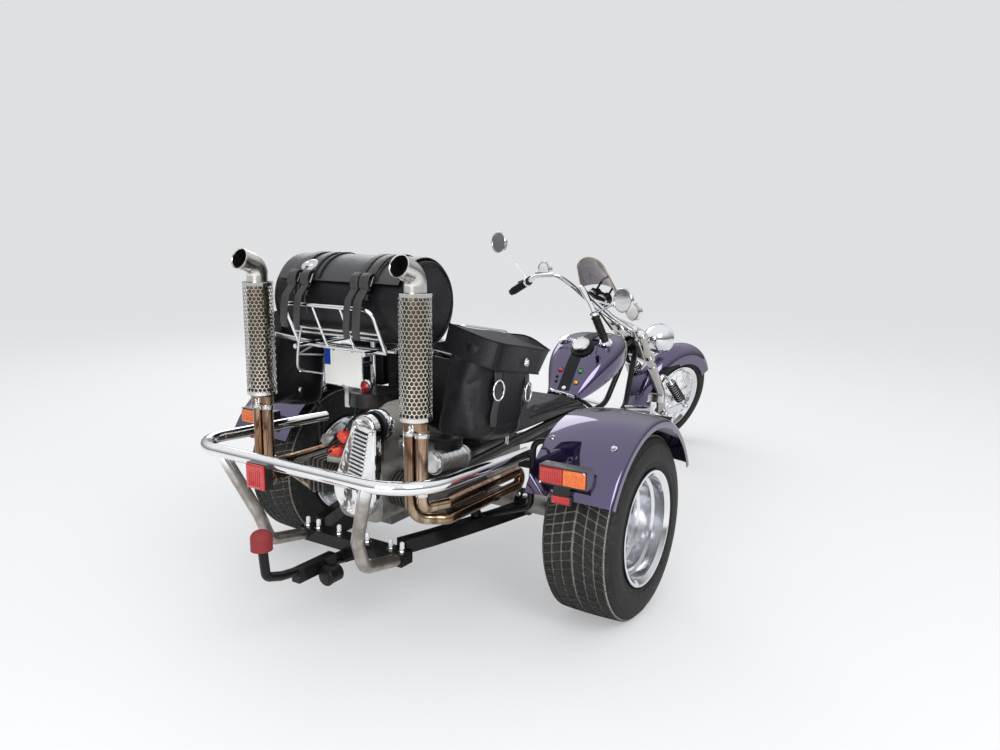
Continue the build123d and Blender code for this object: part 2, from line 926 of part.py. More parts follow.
def saddlebag(side):
    """Leather bag hung nose down beside the seat, its lid falling outwards and forwards."""
    pitch = radians(11)
    top = (bag_top[0], side * bag_inner_y, bag_top[1])
    across = Plane(origin=top, x_dir=(0, side, 0), z_dir=(side * cos(pitch), 0, -side * sin(pitch)))
    along = Plane(origin=top, x_dir=(cos(pitch), 0, -sin(pitch)), z_dir=(0, -1, 0))
    lid_edge = bag_thickness + lid_thickness
    with BuildPart() as bag:
        with BuildSketch(across):
            with BuildLine():
                Polyline(
                    (0, 0),
                    (bag_thickness, -44),
                    (bag_thickness - 8, 20 - bag_height),
                    (bag_thickness - 50, -bag_height),
                    (0, -bag_height),
                    close=True,
                )
            make_face()
        extrude(amount=side * bag_length)
        with BuildSketch(along) as profile:
            with BuildLine():
                Polyline(
                    (0, 10),
                    (bag_length, 10),
                    (bag_length, -110),
                    (bag_length - 38, -bag_height),
                    (0, -bag_height),
                    close=True,
                )
            make_face()
            fillet(profile.vertices().group_by(Axis.Y)[0], 34)
        extrude(amount=2 * bag_thickness, both=True, mode=Mode.INTERSECT)
        with BuildSketch(across.offset(-side * lid_thickness / 2)):
            with BuildLine():
                Polyline(
                    (0, lid_thickness / 2),
                    (lid_edge, lid_thickness / 2 - 46),
                    (lid_edge - 2, -92),
                    (lid_edge - 18, -92),
                    (bag_thickness - 30, -60),
                    (0, -34),
                    close=True,
                )
            make_face()
        extrude(amount=side * (bag_length + lid_thickness / 2 + lid_overhang))
    return bag.part


def number_plate(rack):
    """Blank plate on its bracket, with the holder for the small round lamp."""
    with BuildPart() as plate:
        with BuildSketch(Plane.YZ.offset(-380)):
            with Locations((236, 864)):
                RectangleRounded(190, 150, 8)
        extrude(amount=3)
        with Locations((-370, 236, 864)):
            Box(14, 150, 24)
        add(rod((-370, 205, 864), (-250, 205, 864), 8))
        add(rod((-373, 160, 797), (-373, 112, 803), 7))
        add(rod((-366, 117, 803), (-392, 117, 803), 14))
        add(rack, mode=Mode.SUBTRACT)
    return plate.part


def tank(upper):
    """Wide tank that tapers down to the seat, tunnelled for the backbone."""
    with BuildPart() as shell:
        for x, half, bottom, top in tank_sections:
            height = top - bottom
            with BuildSketch(Plane.YZ.offset(x)):
                with Locations((0, seat_tube_height + bottom + height / 2)):
                    RectangleRounded(2 * half, height, height * 0.42)
        loft()
        add(upper, mode=Mode.SUBTRACT)
    return shell.part


def tank_fittings(tank_body):
    """Two filler caps and the round gauge, seated on the tank."""
    seat_z = seat_tube_height + 265
    with BuildPart() as fittings:
        for side in (-1, 1):
            add(rod((1186, side * 108, seat_z), (1168, side * 124, seat_z + 42), 31))
        add(rod((1150, 0, seat_z - 30), (1126, 0, seat_z + 42), 42))
        add(tank_body, mode=Mode.SUBTRACT)
    return fittings.part


def foot_controls(upper, rails):
    """Crash bars, forward pegs and pedals."""
    peg_z = 364
    with BuildPart() as controls:
        for side in (-1, 1):
            crash_bar = [
                (1560, side * 62, rail_top + 38),
                (1560, side * 250, 400),
                (1400, side * 262, 320),
                (1225, side * 100, rail_top - 25),
            ]
            add(tube(crash_bar, 13, 50))
            add(rod((1490, side * 250, peg_z), (1490, side * 380, peg_z), 12))
            add(rod((1490, side * 262, peg_z), (1470, side * 262, peg_z + 110), 8))
            with Locations((1462, side * 290, peg_z + 118)):
                Box(20, 80, 44)
        add(upper, mode=Mode.SUBTRACT)
        add(rails, mode=Mode.SUBTRACT)
    return controls.part


def fork(lamp):
    """Two yokes, the stem, legs that kink back to their feet, and the headlamp's arm."""
    with BuildPart() as legs:
        for w in (lower_yoke_w, upper_yoke_w):
            with BuildSketch(Plane.XY.offset(w)):
                for v in (-fork_half_width, 0, fork_half_width):
                    with Locations((0, v)):
                        Circle(34 if v else 40)
                make_hull()
            extrude(amount=yoke_thickness)
        with BuildSketch(Plane.XY.offset(lower_yoke_w)):
            Circle(stem_radius)
        extrude(amount=upper_yoke_w - lower_yoke_w + yoke_thickness + 10)
        for side in (-1, 1):
            v = side * fork_half_width
            add(rod((0, v, lower_yoke_w - 70), (0, v, upper_yoke_w + yoke_thickness + 6), fork_tube_radius))
            add(
                tube(
                    [(0, v, lower_yoke_w - 60), (0, v, leg_kink_w), (leg_foot[0], v, leg_foot[1])],
                    fork_leg_radius,
                    90,
                )
            )
            add(
                rod(
                    (leg_foot[0], side * (fork_half_width - 27), leg_foot[1]),
                    (leg_foot[0], side * (fork_half_width + 27), leg_foot[1]),
                    25,
                )
            )
        add(rod((20, 0, lower_yoke_w + 12), (150, 0, lamp_w + 18), 12))
        add(
            rod((leg_foot[0], -170, leg_foot[1]), (leg_foot[0], 170, leg_foot[1]), link_pin_radius),
            mode=Mode.SUBTRACT,
        )
        add(lamp, mode=Mode.SUBTRACT)
    return legs.part


def fork_links(fork_body):
    """Leading links with their pivots, the axle and a short spring unit each side."""
    with BuildPart() as links:
        for side in (-1, 1):
            inner = side * (fork_half_width + 28)
            with BuildSketch(Plane.XZ.offset(-inner)):
                for u, w, radius in ((*leg_foot, 24), (axle_u, axle_w, 22)):
                    with Locations((u, w)):
                        Circle(radius)
                make_hull()
            extrude(amount=-side * 14)
            add(
                rod(
                    (leg_foot[0], side * 84, leg_foot[1]),
                    (leg_foot[0], side * 158, leg_foot[1]),
                    link_pin_radius,
                )
            )
            v = side * (fork_half_width + 35)
            low = (axle_u - 12, v, axle_w + 36)
            high = (56, v, 664)
            add(rod((axle_u - 10, v, axle_w + 12), low, 9))
            add(rod(low, high, 9))
            along = Vector(*high) - Vector(*low)
            spring = Plane(origin=Vector(*low) + along * 0.12, z_dir=along)
            with BuildSketch(spring):
                Circle(25)
            extrude(amount=along.length * 0.72)
            add(rod((56, side * (fork_half_width + 50), 664), (56, side * (fork_half_width - 4), 664), 10))
            add(rod((56, side * fork_half_width, 664), (20, side * fork_half_width, 664), 12))
        add(rod((axle_u, -158, axle_w), (axle_u, 158, axle_w), front_axle_radius))
        add(fork_body, mode=Mode.SUBTRACT)
    return links.part


def front_fender(fork_body):
    """Deep skirted fender, carried by bosses on the fork legs."""
    start = radians(-4)
    arc = 167
    plane = Plane(
        origin=(axle_u, 0, axle_w),
        x_dir=(0, 1, 0),
        z_dir=(sin(start), 0, -cos(start)),
    )
    with BuildPart() as fender:
        with BuildSketch(plane):
            with BuildLine():
                Line((-78, 250), (-78, 310))
                ThreePointArc((-78, 310), (0, 357), (78, 310))
                Line((78, 310), (78, 250))
                Line((78, 250), (75, 250))
                Line((75, 250), (75, 310))
                ThreePointArc((75, 310), (0, 354), (-75, 310))
                Line((-75, 310), (-75, 250))
                Line((-75, 250), (-78, 250))
            make_face()
        revolve(axis=Axis((axle_u, 0, axle_w), (0, -1, 0)), revolution_arc=arc)
        for side in (-1, 1):
            with BuildSketch(Plane.XZ.offset(side * 62)):
                with BuildLine():
                    Polyline((222, 583), (117, 659), (34, 692), (34, 480), (222, 480), close=True)
                make_face()
            extrude(amount=side * 40, mode=Mode.SUBTRACT)
        for side in (-1, 1):
            for w in (600, 650):
                add(rod((0, side * 68, w), (0, side * 96, w), 8))
        add(fork_body, mode=Mode.SUBTRACT)
    return fender.part


def front_wheel_plane():
    """Sketch plane of the front wheel: X points left, Y is the radius."""
    return Plane(origin=(axle_u, 0, axle_w), x_dir=(0, 1, 0), z_dir=(1, 0, 0))


def front_tyre():
    """Narrow ribbed tyre."""
    with BuildPart() as tyre:
        with BuildSketch(front_wheel_plane()):
            add(tyre_section(front_tyre_width / 2, front_tyre_radius, front_bead_radius, 30, 262))
            make_face()
        revolve(axis=Axis((axle_u, 0, axle_w), (0, 1, 0)))
    return tyre.part


def front_wheel():
    """Spoked wheel: drop-centre rim, flanged hub and crossing spokes."""
    flat = front_tyre_width / 2 - bead_flange - 6
    axis = Axis((axle_u, 0, axle_w), (0, 1, 0))
    here = front_wheel_plane()
    with BuildPart() as wheel:
        with BuildSketch(here):
            with BuildLine():
                Polyline(
                    (0, front_bead_radius),
                    (flat, front_bead_radius),
                    (flat + 3, front_lip_radius),
                    (front_rim_half, front_lip_radius),
                    (front_rim_half, front_lip_radius - 6),
                    (flat, 192),
                    (20, 190),
                    (12, 182),
                    (0, 182),
                )
                mirror(about=Plane.YZ)
            make_face()
        revolve(axis=axis)
        with BuildSketch(here):
            with BuildLine():
                Polyline(
                    (0, 5),
                    (front_hub_half, 5),
                    (front_hub_half, 24),
                    (52, 26),
                    (48, 46),
                    (42, 46),
                    (38, 30),
                    (0, 28),
                )
                mirror(about=Plane.YZ)
            make_face()
        revolve(axis=axis)
        for index in range(spoke_count):
            side = 1 if index % 2 else -1
            lean = 14 if index % 4 < 2 else -14
            angle = index * 360 / spoke_count
            inner = (40 * cos(radians(angle - lean)), side * 45, 40 * sin(radians(angle - lean)))
            outer = (187 * cos(radians(angle)), side * 8, 187 * sin(radians(angle)))
            add(
                rod(
                    (axle_u + inner[0], inner[1], axle_w + inner[2]),
                    (axle_u + outer[0], outer[1], axle_w + outer[2]),
                    spoke_radius,
                )
            )
        bore = front_axle_radius + pin_gap
        add(rod((axle_u, -100, axle_w), (axle_u, 100, axle_w), bore), mode=Mode.SUBTRACT)
    return wheel.part


def above_clamp(u, v, height):
    """A point in the steering frame, its height measured from the bar's clamps."""
    return (u, v, bar_clamp_w + height)


def handlebar(fork_body):
    """Tall pulled-back bar in one bend, clamped to the upper yoke."""
    with BuildPart() as bar:
        for side in (-1, 1):
            points = [above_clamp(u, side * v, height) for u, v, height in bar_points]
            add(tube(points, bar_radius, 40))
            with Locations(points[0]):
                Cylinder(20, 30, align=(Align.CENTER, Align.CENTER, Align.MIN))
        add(rod(above_clamp(-138, -56, 318), above_clamp(-138, 56, 318), 8))
        add(fork_body, mode=Mode.SUBTRACT)
    return bar.part


def grips(bar):
    """Ribbed grips, switch housings and levers."""
    with BuildPart() as controls:
        for side in (-1, 1):
            last_bend, tip = [
                Vector(*above_clamp(u, side * v, height)) for u, v, height in bar_points[-2:]
            ]
            start = last_bend + (tip - last_bend) * 0.45
            along = tip - start
            add(rod(tuple(start), tuple(tip + along * 0.04), grip_radius))
            add(rod(tuple(start - along * 0.28), tuple(start - along * 0.02), grip_radius + 4))
            add(rod(tuple(start - along * 0.1 + Vector(30, 0, 10)), tuple(tip + Vector(62, 0, 20)), 5))
            add(rod(tuple(start - along * 0.15), tuple(start - along * 0.1 + Vector(34, 0, 12)), 10))
        add(bar, mode=Mode.SUBTRACT)
    return controls.part


def mirrors(grip_body, bar):
    """Round mirrors on thin stems from the switch housings."""
    with BuildPart() as pair:
        for side in (-1, 1):
            add(rod(above_clamp(-322, side * 252, 553), above_clamp(-277, side * 452, 708), 5))
            with Locations(Pos(*above_clamp(-277, side * 466, 712)) * facing_rider()):
                Cylinder(mirror_radius, 18)
        add(grip_body, mode=Mode.SUBTRACT)
        add(bar, mode=Mode.SUBTRACT)
    return pair.part


def facing_rider():
    """Turns a disc so that it faces straight back in the leant frame."""
    return Rotation(0, 90 + rake, 0)


def headlight():
    """Bullet headlamp on a short bracket from the lower yoke."""
    facing = Location((lamp_u, 0, lamp_w), (0, 90 + rake, 0))
    with BuildPart() as lamp:
        with BuildSketch(Plane.XZ):
            with BuildLine():
                Line((0, -90), (0, 44))
                Line((0, 44), (lamp_radius, 44))
                Line((lamp_radius, 44), (lamp_radius + 4, 34))
                Line((lamp_radius + 4, 34), (lamp_radius + 4, 12))
                ThreePointArc((lamp_radius + 4, 12), (66, -52), (14, -90))
                Line((14, -90), (0, -90))
            make_face()
        revolve(axis=Axis.Z)
    return lamp.part.moved(facing)


def indicators(bar):
    """Round lamps on stems beside the instruments."""
    with BuildPart() as pair:
        for side in (-1, 1):
            add(rod(above_clamp(-175, side * 54, 423), above_clamp(-153, side * 325, 448), 6))
            with Locations(Pos(*above_clamp(-153, side * 339, 454)) * facing_rider()):
                Cylinder(indicator_radius, 26)
        add(bar, mode=Mode.SUBTRACT)
    return pair.part


def front_lamps(lamp, indicator_pair):
    """The headlamp and both indicators, which share one node."""
    with BuildPart() as lamps:
        add(lamp)
        add(indicator_pair)
    return lamps.part


def instruments(bar):
    """Two dials in a housing on the bar's cross brace, with two stalks to the screen."""
    with BuildPart() as dials:
        with Locations(above_clamp(-109, 0, 345)):
            Box(60, 120, 60)
        for side in (-1, 1):
            add(rod(above_clamp(-75, side * 37, 334), above_clamp(-118, side * 37, 355), 32))
            add(rod(above_clamp(-95, side * 45, 348), above_clamp(-22, side * 45, 378), 6))
        add(bar, mode=Mode.SUBTRACT)
    return dials.part


def windscreen(dials):
    """Small curved screen above the instruments, leaning back as it rises."""
    base = bar_clamp_w + 348
    with BuildPart() as screen:
        with BuildSketch(Plane.XY.offset(base)):
            with BuildLine():
                ThreePointArc((-91, 150), (-10, 0), (-91, -150))
                Line((-91, -150), (-91 - screen_wall, -150))
                ThreePointArc((-91 - screen_wall, -150), (-10 - screen_wall, 0), (-91 - screen_wall, 150))
                Line((-91 - screen_wall, 150), (-91, 150))
            make_face()
        extrude(amount=235, dir=(-0.12, 0, 1))
        with BuildSketch(Plane.YZ.offset(-200)):
            with BuildLine():
                Line((-150, base), (150, base))
                Line((150, base), (131, base + 135))
                ThreePointArc((131, base + 135), (104, base + 200), (50, base + 230))
                ThreePointArc((50, base + 230), (0, base + 235), (-50, base + 230))
                ThreePointArc((-50, base + 230), (-104, base + 200), (-131, base + 135))
                Line((-131, base + 135), (-150, base))
            make_face()
        extrude(amount=400, mode=Mode.INTERSECT)
        add(dials, mode=Mode.SUBTRACT)
    return screen.part


def assemble():
    """Build every piece in its place, each fitted to the ones before it."""
    rails = frame_rails()
    upper = upper_frame(rails)
    fenders = [rear_fender(1), rear_fender(-1)]
    stays = fender_stays(fenders, rails)
    bumper_loop = bumper(rails, stays)
    banks = [cylinder_bank(1), cylinder_bank(-1)]
    rack = luggage_rack(upper)
    case = crankcase()
    tank_body = tank(upper)
    nodes = {
        "frame_rails": rails,
        "upper_frame": upper,
        "tow_bar": tow_bar(),
        "ball_cap": ball_cap(),
        "fender_left": fenders[0],
        "fender_right": fenders[1],
        "fender_stays": stays,
        "bumper": bumper_loop,
        "rear_lamps": rear_lamps(fenders, bumper_loop),
        "transaxle": transaxle(),
        "crankcase": case,
        "cylinders_left": banks[0],
        "cylinders_right": banks[1],
        "belt_guard": belt_guard(),
        "alternator": alternator(),
        "distributor": distributor(case),
        "intake": intake(),
        "exhaust_left": exhaust(1, banks[0]),
        "exhaust_right": exhaust(-1, banks[1]),
        "heat_shield_left": heat_shield(1),
        "heat_shield_right": heat_shield(-1),
        "seat": seat(),
        "luggage_rack": rack,
        "roll_bag": roll_bag(),
        "saddlebag_left": saddlebag(1),
        "saddlebag_right": saddlebag(-1),
        "number_plate": number_plate(rack),
        "tank": tank_body,
        "tank_fittings": tank_fittings(tank_body),
        "foot_controls": foot_controls(upper, rails),
    }
    for side, name in ((1, "left"), (-1, "right")):
        nodes[f"rear_tyre_{name}"] = rear_tyre(side)
        nodes[f"rear_wheel_{name}"] = rear_wheel(side)
    lamp = headlight()
    fork_body = fork(lamp)
    bar = handlebar(fork_body)
    dials = instruments(bar)
    grip_pair = grips(bar)
    front_end = {
        "fork": fork_body,
        "fork_links": fork_links(fork_body),
        "front_fender": front_fender(fork_body),
        "front_lamps": front_lamps(lamp, indicators(bar)),
        "handlebar": bar,
        "grips": grip_pair,
        "mirrors": mirrors(grip_pair, bar),
        "instruments": dials,
        "windscreen": windscreen(dials),
        "front_tyre": front_tyre(),
        "front_wheel": front_wheel(),
    }
    for label, piece in front_end.items():
        nodes[label] = piece.moved(steering)
    return nodes


pieces = assemble()
boxes = [piece.bounding_box() for piece in pieces.values()]
low_x = min(box.min.X for box in boxes)
high_x = max(box.max.X for box in boxes)
low_y = min(box.min.Y for box in boxes)
high_y = max(box.max.Y for box in boxes)
to_middle = Pos(-(low_x + high_x) / 2, -(low_y + high_y) / 2, 0)
for label, piece in pieces.items():
    placed = piece.moved(to_middle)
    placed.label = label
    export_step(placed, f"parts/{label}.step")
print("shift", to_middle.position)
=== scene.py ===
"""The three-wheeled motorcycle dressed: finishes, leather luggage, tyres and small pieces.

Places are given in millimetres from the middle of the rear axle on the floor, or in the
front end's own frame, whose height runs up the steering axis.
"""

import json
from contextlib import contextmanager
from math import cos, degrees, pi, radians, sin, sqrt, tau

import bmesh
import bpy
from mathutils import Matrix, Vector, noise


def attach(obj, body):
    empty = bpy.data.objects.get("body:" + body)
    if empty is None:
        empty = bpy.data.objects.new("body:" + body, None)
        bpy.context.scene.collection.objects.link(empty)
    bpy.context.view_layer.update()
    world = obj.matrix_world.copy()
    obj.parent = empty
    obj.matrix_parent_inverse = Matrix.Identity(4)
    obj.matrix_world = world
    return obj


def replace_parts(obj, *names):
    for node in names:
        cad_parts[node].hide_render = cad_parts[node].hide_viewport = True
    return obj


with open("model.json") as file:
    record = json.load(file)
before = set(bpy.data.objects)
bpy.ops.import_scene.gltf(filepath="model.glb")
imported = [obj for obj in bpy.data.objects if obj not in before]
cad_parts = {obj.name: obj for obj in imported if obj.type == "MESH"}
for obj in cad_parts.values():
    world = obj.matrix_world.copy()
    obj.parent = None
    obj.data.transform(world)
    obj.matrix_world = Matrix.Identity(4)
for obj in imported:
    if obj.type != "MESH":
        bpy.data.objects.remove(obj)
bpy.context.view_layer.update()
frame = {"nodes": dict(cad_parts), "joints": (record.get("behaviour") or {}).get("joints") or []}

MM = 0.001

# The camera, as fitted to the photograph: its place from the rear axle and its three directions
IMAGE_WIDTH = 1000
FOCAL_PIXELS = 810.87
CAMERA_PLACE = (-2595.7, -1843.2, 1398.5)
CAMERA_RIGHT = (0.53277, -0.84618, 0.01169)
CAMERA_DOWN = (-0.15025, -0.10817, -0.98271)
CAMERA_FORWARD = (0.83281, 0.52181, -0.18477)

# Driving sizes of the machine, as the frame has them
AXLE_HEIGHT = 338
TYRE_RADIUS = 338
TREAD_BEND = 106
TREAD_CROWN = 3
WHEEL_Y = 714
STACK_X = -680
STACK_Y = 340
SHIELD_RADIUS = 51
SHIELD_BOTTOM = 800
SHIELD_TOP = 1190
ROLL_CENTER = (-540, 1140)
ROLL_RADIUS = 145
ROLL_ENDS = (-290, 270)
ROLL_SEAMS = (60, -183)
BAG_TOP = (-550, 1085)
BAG_INNER_Y = 363
BAG_THICKNESS = 178
BAG_PITCH = 11
REST_TURN = 23
BAR_CLAMP = 1092
SEEN_SKY = 0.78
CLOTH_FRAMES = 20
SKY_TONE = (0.95, 0.96, 0.98)

SIDES = ((1, "left"), (-1, "right"))
STILL = Matrix.Identity(4)
UPWARDS = Vector((0, 0, 1))

joints = {joint["name"]: joint for joint in frame["joints"]}
axle_x = joints["rear_left_wheel_spin"]["pos_m"][0]


def at(x, y, z):
    """A place in millimetres from the middle of the rear axle on the floor."""
    return Vector((axle_x + x * MM, y * MM, z * MM))


def steering_axes():
    """The front end's foot on the floor and its forward, left and upward directions."""
    up = Vector(joints["steering_turn"]["axis"]).normalized()
    on_axis = Vector(joints["steering_turn"]["pos_m"])
    foot = on_axis - up * (on_axis.z / up.z)
    straight_ahead = Vector((up.z, 0, -up.x))
    ahead = Matrix.Rotation(-radians(REST_TURN), 3, up) @ straight_ahead
    return foot, ahead, up.cross(ahead), up


fork_foot, fork_ahead, fork_left, fork_up = steering_axes()
front_hub = Vector(joints["front_wheel_spin"]["pos_m"])


def on_fork(u, v, w):
    """A place in the front end's frame: forwards, to the left and up the steering axis."""
    return fork_foot + (fork_ahead * u + fork_left * v + fork_up * w) * MM


def around(radius, angle, height=0.0):
    """A vector at an angle round Z."""
    return Vector((radius * cos(angle), radius * sin(angle), height))


def steps(places):
    """The step from each place to the next."""
    return [end - start for start, end in zip(places, places[1:])]


def operation(kind, swapped=False):
    """A reading's method that combines it with a second number by one maths node."""

    def combined(self, other):
        first, second = (other, self) if swapped else (self, other)
        node = self.paint.node("ShaderNodeMath", {"operation": kind}, {0: first, 1: second})
        return Reading(self.paint, node.outputs[0])

    return combined


class Reading:
    """A number that varies over a surface, so that sums of such numbers add their nodes."""

    def __init__(self, paint, socket):
        self.paint = paint
        self.socket = socket

    __add__ = __radd__ = operation("ADD")
    __sub__ = operation("SUBTRACT")
    __rsub__ = operation("SUBTRACT", swapped=True)
    __mul__ = __rmul__ = operation("MULTIPLY")
    __pow__ = operation("POWER")
    # 1 where the number is over or under a limit and 0 elsewhere
    above = operation("GREATER_THAN")
    below = operation("LESS_THAN")
    largest = operation("MAXIMUM")

    def fade(self, low, high):
        """0 at low, 1 at high and smooth between them."""
        sockets = {"Value": self, "From Min": low, "From Max": high}
        node = self.paint.node("ShaderNodeMapRange", {"interpolation_type": "SMOOTHSTEP"}, sockets)
        return Reading(self.paint, node.outputs[0])


class Paint:
    """One finish: a material, its shader and the means to add nodes to it."""

    def __init__(self, name, color=(0.5, 0.5, 0.5), roughness=0.5, metallic=0.0, **constants):
        self.material = bpy.data.materials.new(name)
        self.material.use_nodes = True
        self.tree = self.material.node_tree
        self.shader = self.tree.nodes["Principled BSDF"]
        self.set("Base Color", (*color, 1.0))
        self.set("Roughness", roughness)
        self.set("Metallic", metallic)
        for socket, value in constants.items():
            self.set(socket.replace("_", " ").title().replace("Ior", "IOR"), value)
        self.place = self.node("ShaderNodeTexCoord").outputs["Object"]
        split = self.node("ShaderNodeSeparateXYZ", {}, {0: self.place})
        self.x, self.y, self.z = (Reading(self, socket) for socket in split.outputs)

    def node(self, kind, settings=None, sockets=None):
        """Any other node: its type, its settings and the values or links of its sockets."""
        made = self.tree.nodes.new(kind)
        for key, value in (settings or {}).items():
            setattr(made, key, value)
        for key, value in (sockets or {}).items():
            self.feed(made.inputs[key], value)
        return made

    def feed(self, socket, value):
        if isinstance(value, Reading):
            value = value.socket
        if isinstance(value, bpy.types.NodeSocket):
            self.tree.links.new(value, socket)
        else:
            socket.default_value = value

    def set(self, socket, value):
        self.feed(self.shader.inputs[socket], value)

    def noise(self, scale, detail=3.0, roughness=0.5, vector=None):
        sockets = {"Vector": vector or self.place, "Scale": scale, "Detail": detail}
        made = self.node("ShaderNodeTexNoise", {}, {**sockets, "Roughness": roughness})
        return Reading(self, made.outputs["Fac"])

    def cells(self, scale, feature="F1"):
        sockets = {"Vector": self.place, "Scale": scale}
        made = self.node("ShaderNodeTexVoronoi", {"feature": feature}, sockets)
        return Reading(self, made.outputs["Distance"])

    def drawn_out(self, z):
        """The place with its height scaled, for wipe marks and streaks."""
        sockets = {"Vector": self.place, "Scale": (1, 1, z)}
        return self.node("ShaderNodeMapping", {}, sockets).outputs[0]

    def mix(self, share, first, second):
        """Two colours blended; share 0 gives the first."""
        first, second = [(*c, 1.0) if isinstance(c, tuple) else c for c in (first, second)]
        sockets = {0: share, 6: first, 7: second}
        return self.node("ShaderNodeMix", {"data_type": "RGBA"}, sockets).outputs[2]

    def finished(self, color, roughness, height=None, depth=0.0, strength=1.0):
        """The material with its colour, roughness and bump: a height from 0 to 1 and a depth."""
        self.set("Base Color", color)
        self.set("Roughness", roughness)
        if height:
            sockets = {"Height": height, "Distance": depth, "Strength": strength}
            self.set("Normal", self.node("ShaderNodeBump", {}, sockets).outputs[0])
        return self.material


def between(value, low, high, soft=0.0005):
    """1 where a reading lies between two limits."""
    return value.fade(low - soft, low + soft) * (1 - value.fade(high - soft, high + soft))


def frame_black():
    """Satin black frame paint, dusty on top with chips down to grey primer."""
    coat = {"coat_weight": 0.25, "coat_roughness": 0.1, "specular_ior_level": 0.12}
    paint = Paint("frame_black", (0.008, 0.008, 0.009), **coat)
    dust = paint.noise(9, 5).fade(0.45, 0.75)
    chips = paint.noise(160, 2).fade(0.70, 0.72) * paint.noise(14, 2).fade(0.5, 0.62)
    dusty = paint.mix(dust * 0.22, (0.004, 0.004, 0.005), (0.035, 0.032, 0.028))
    return paint.finished(
        paint.mix(chips, dusty, (0.13, 0.12, 0.11)),
        0.34 + dust * 0.3 + chips * 0.2,
        paint.noise(420, 2), 0.0006, 0.25,
    )


def purple_lacquer():
    """Dark purple lacquer with fine flake under a clear coat, filmed with dust low down."""
    paint = Paint("purple_lacquer", (0.012, 0.005, 0.022), coat_roughness=0.03, ior=2.25)
    paint.set("Specular Tint", (0.72, 0.62, 1.0, 1.0))
    flake = paint.cells(1400).fade(0.25, 0.45)
    depth = paint.noise(3.2, 2).fade(0.3, 0.7)
    deep = paint.mix(depth, (0.005, 0.003, 0.011), (0.009, 0.005, 0.020))
    lively = paint.mix((1 - flake) * 0.08, deep, (0.06, 0.03, 0.11))
    grime = paint.noise(40, 4).fade(0.5, 0.8) * (1 - paint.z.fade(0.38, 0.58))
    color = paint.mix(grime * 0.4, lively, (0.07, 0.06, 0.05))
    paint.set("Coat Weight", 0.3 - grime * 0.2)
    return paint.finished(color, 0.05 + grime * 0.3, paint.noise(900, 2), 0.0001, 0.08)


def chrome(name="bright_chrome", tone=(0.74, 0.75, 0.77), haze=0.0):
    """Chrome plate with faint wipe marks, water spots and pin rust."""
    paint = Paint(name, tone, 0.08, 1.0)
    wipe = paint.noise(22, 4, 0.6, paint.drawn_out(3)).fade(0.35, 0.75)
    spots = paint.cells(210).fade(0.0, 0.10)
    pits = paint.noise(300, 1).fade(0.72, 0.75) * paint.noise(7, 3).fade(0.55, 0.7)
    dulled = paint.mix(wipe * 0.22, tone, (0.50, 0.50, 0.51))
    return paint.finished(
        paint.mix(pits * 0.7, dulled, (0.20, 0.10, 0.05)),
        0.05 + haze + wipe * 0.08 + (1 - spots) * 0.05 + pits * 0.4,
        wipe, 0.0002, 0.05,
    )


def heat_tint():
    """Exhaust: brown and straw headers, painted shade (darker and rougher) inside the guards, plain
    chrome at the mouth.
    """
    paint = Paint("heat_tint", (0.3, 0.2, 0.15), 0.22, 1.0)
    blotch = paint.noise(9, 4, 0.6, paint.drawn_out(0.35))
    streak = paint.noise(34, 4, 0.6, paint.drawn_out(0.12)).fade(0.38, 0.62)
    straw = paint.mix(blotch.fade(0.35, 0.62), (0.46, 0.36, 0.25), (0.24, 0.13, 0.075))
    brown = paint.mix(streak * 0.75, straw, (0.11, 0.062, 0.042))
    # painted shade: the pipe is darker and rougher where the guards enclose it
    inside = between(paint.z, 0.80, 1.17, 0.03)
    shade_in_guards = paint.mix(inside, brown, (0.13, 0.095, 0.06))
    mouth = paint.z.fade(1.17, 1.19)
    plain = paint.mix(streak * 0.25, (0.66, 0.65, 0.63), (0.34, 0.31, 0.28))
    return paint.finished(
        paint.mix(mouth, shade_in_guards, plain),
        0.12 + streak * 0.14 + inside * 0.4,
        streak, 0.0004, 0.15,
    )


def bumper_chrome():
    """Bright chrome loop whose lower hoops have gone dull and brown with road dirt."""
    paint = Paint("bumper_chrome", (0.76, 0.76, 0.77), 0.08, 1.0)
    dull = 1 - paint.z.fade(0.57, 0.62)
    dirt = paint.noise(26, 4).fade(0.35, 0.75)
    clean = paint.mix(dirt * 0.12, (0.78, 0.78, 0.79), (0.50, 0.48, 0.46))
    return paint.finished(
        paint.mix(dull, clean, paint.mix(dirt, (0.40, 0.37, 0.34), (0.25, 0.22, 0.19))),
        0.06 + dull * 0.28 + dirt * 0.06,
        dirt, 0.0004, 0.08,
    )


def cast_alloy(name="cast_alloy", pale=(0.36, 0.35, 0.33), oily=0.8):
    """Raw cast alloy, oxidised, with oil in its hollows."""
    paint = Paint(name, pale, 0.55, 0.8)
    oil = paint.noise(12, 5).fade(0.5, 0.72)
    grain = paint.noise(380, 3)
    tone = paint.mix(grain, tuple(0.8 * c for c in pale), tuple(1.1 * c for c in pale))
    return paint.finished(
        paint.mix(oil * oily, tone, (0.05, 0.042, 0.035)),
        0.6 - oil * 0.25,
        grain, 0.0006, 0.6,
    )


def leather(name="black_leather", worn=0.45, tone=(0.0040, 0.0042, 0.0054), shine=0.2):
    """Black cowhide: pebbled grain, soft creases and greyed high spots."""
    coat = {"coat_weight": 0.1, "coat_roughness": 0.25}
    paint = Paint(name, tone, specular_ior_level=shine, **coat)
    pebble = paint.cells(430).fade(0.05, 0.65)
    crease = paint.noise(26, 5, 0.62)
    fine = paint.cells(150, "SMOOTH_F1").fade(0.1, 0.6)
    wear = paint.noise(11, 4).fade(0.5, 0.78) * crease.fade(0.45, 0.65)
    return paint.finished(
        paint.mix(wear * worn, tone, (0.032, 0.030, 0.029)),
        0.33 + wear * 0.2 + pebble * 0.08,
        crease * 0.6 + fine * 0.2 + pebble * 0.2, 0.0035, 0.45,
    )


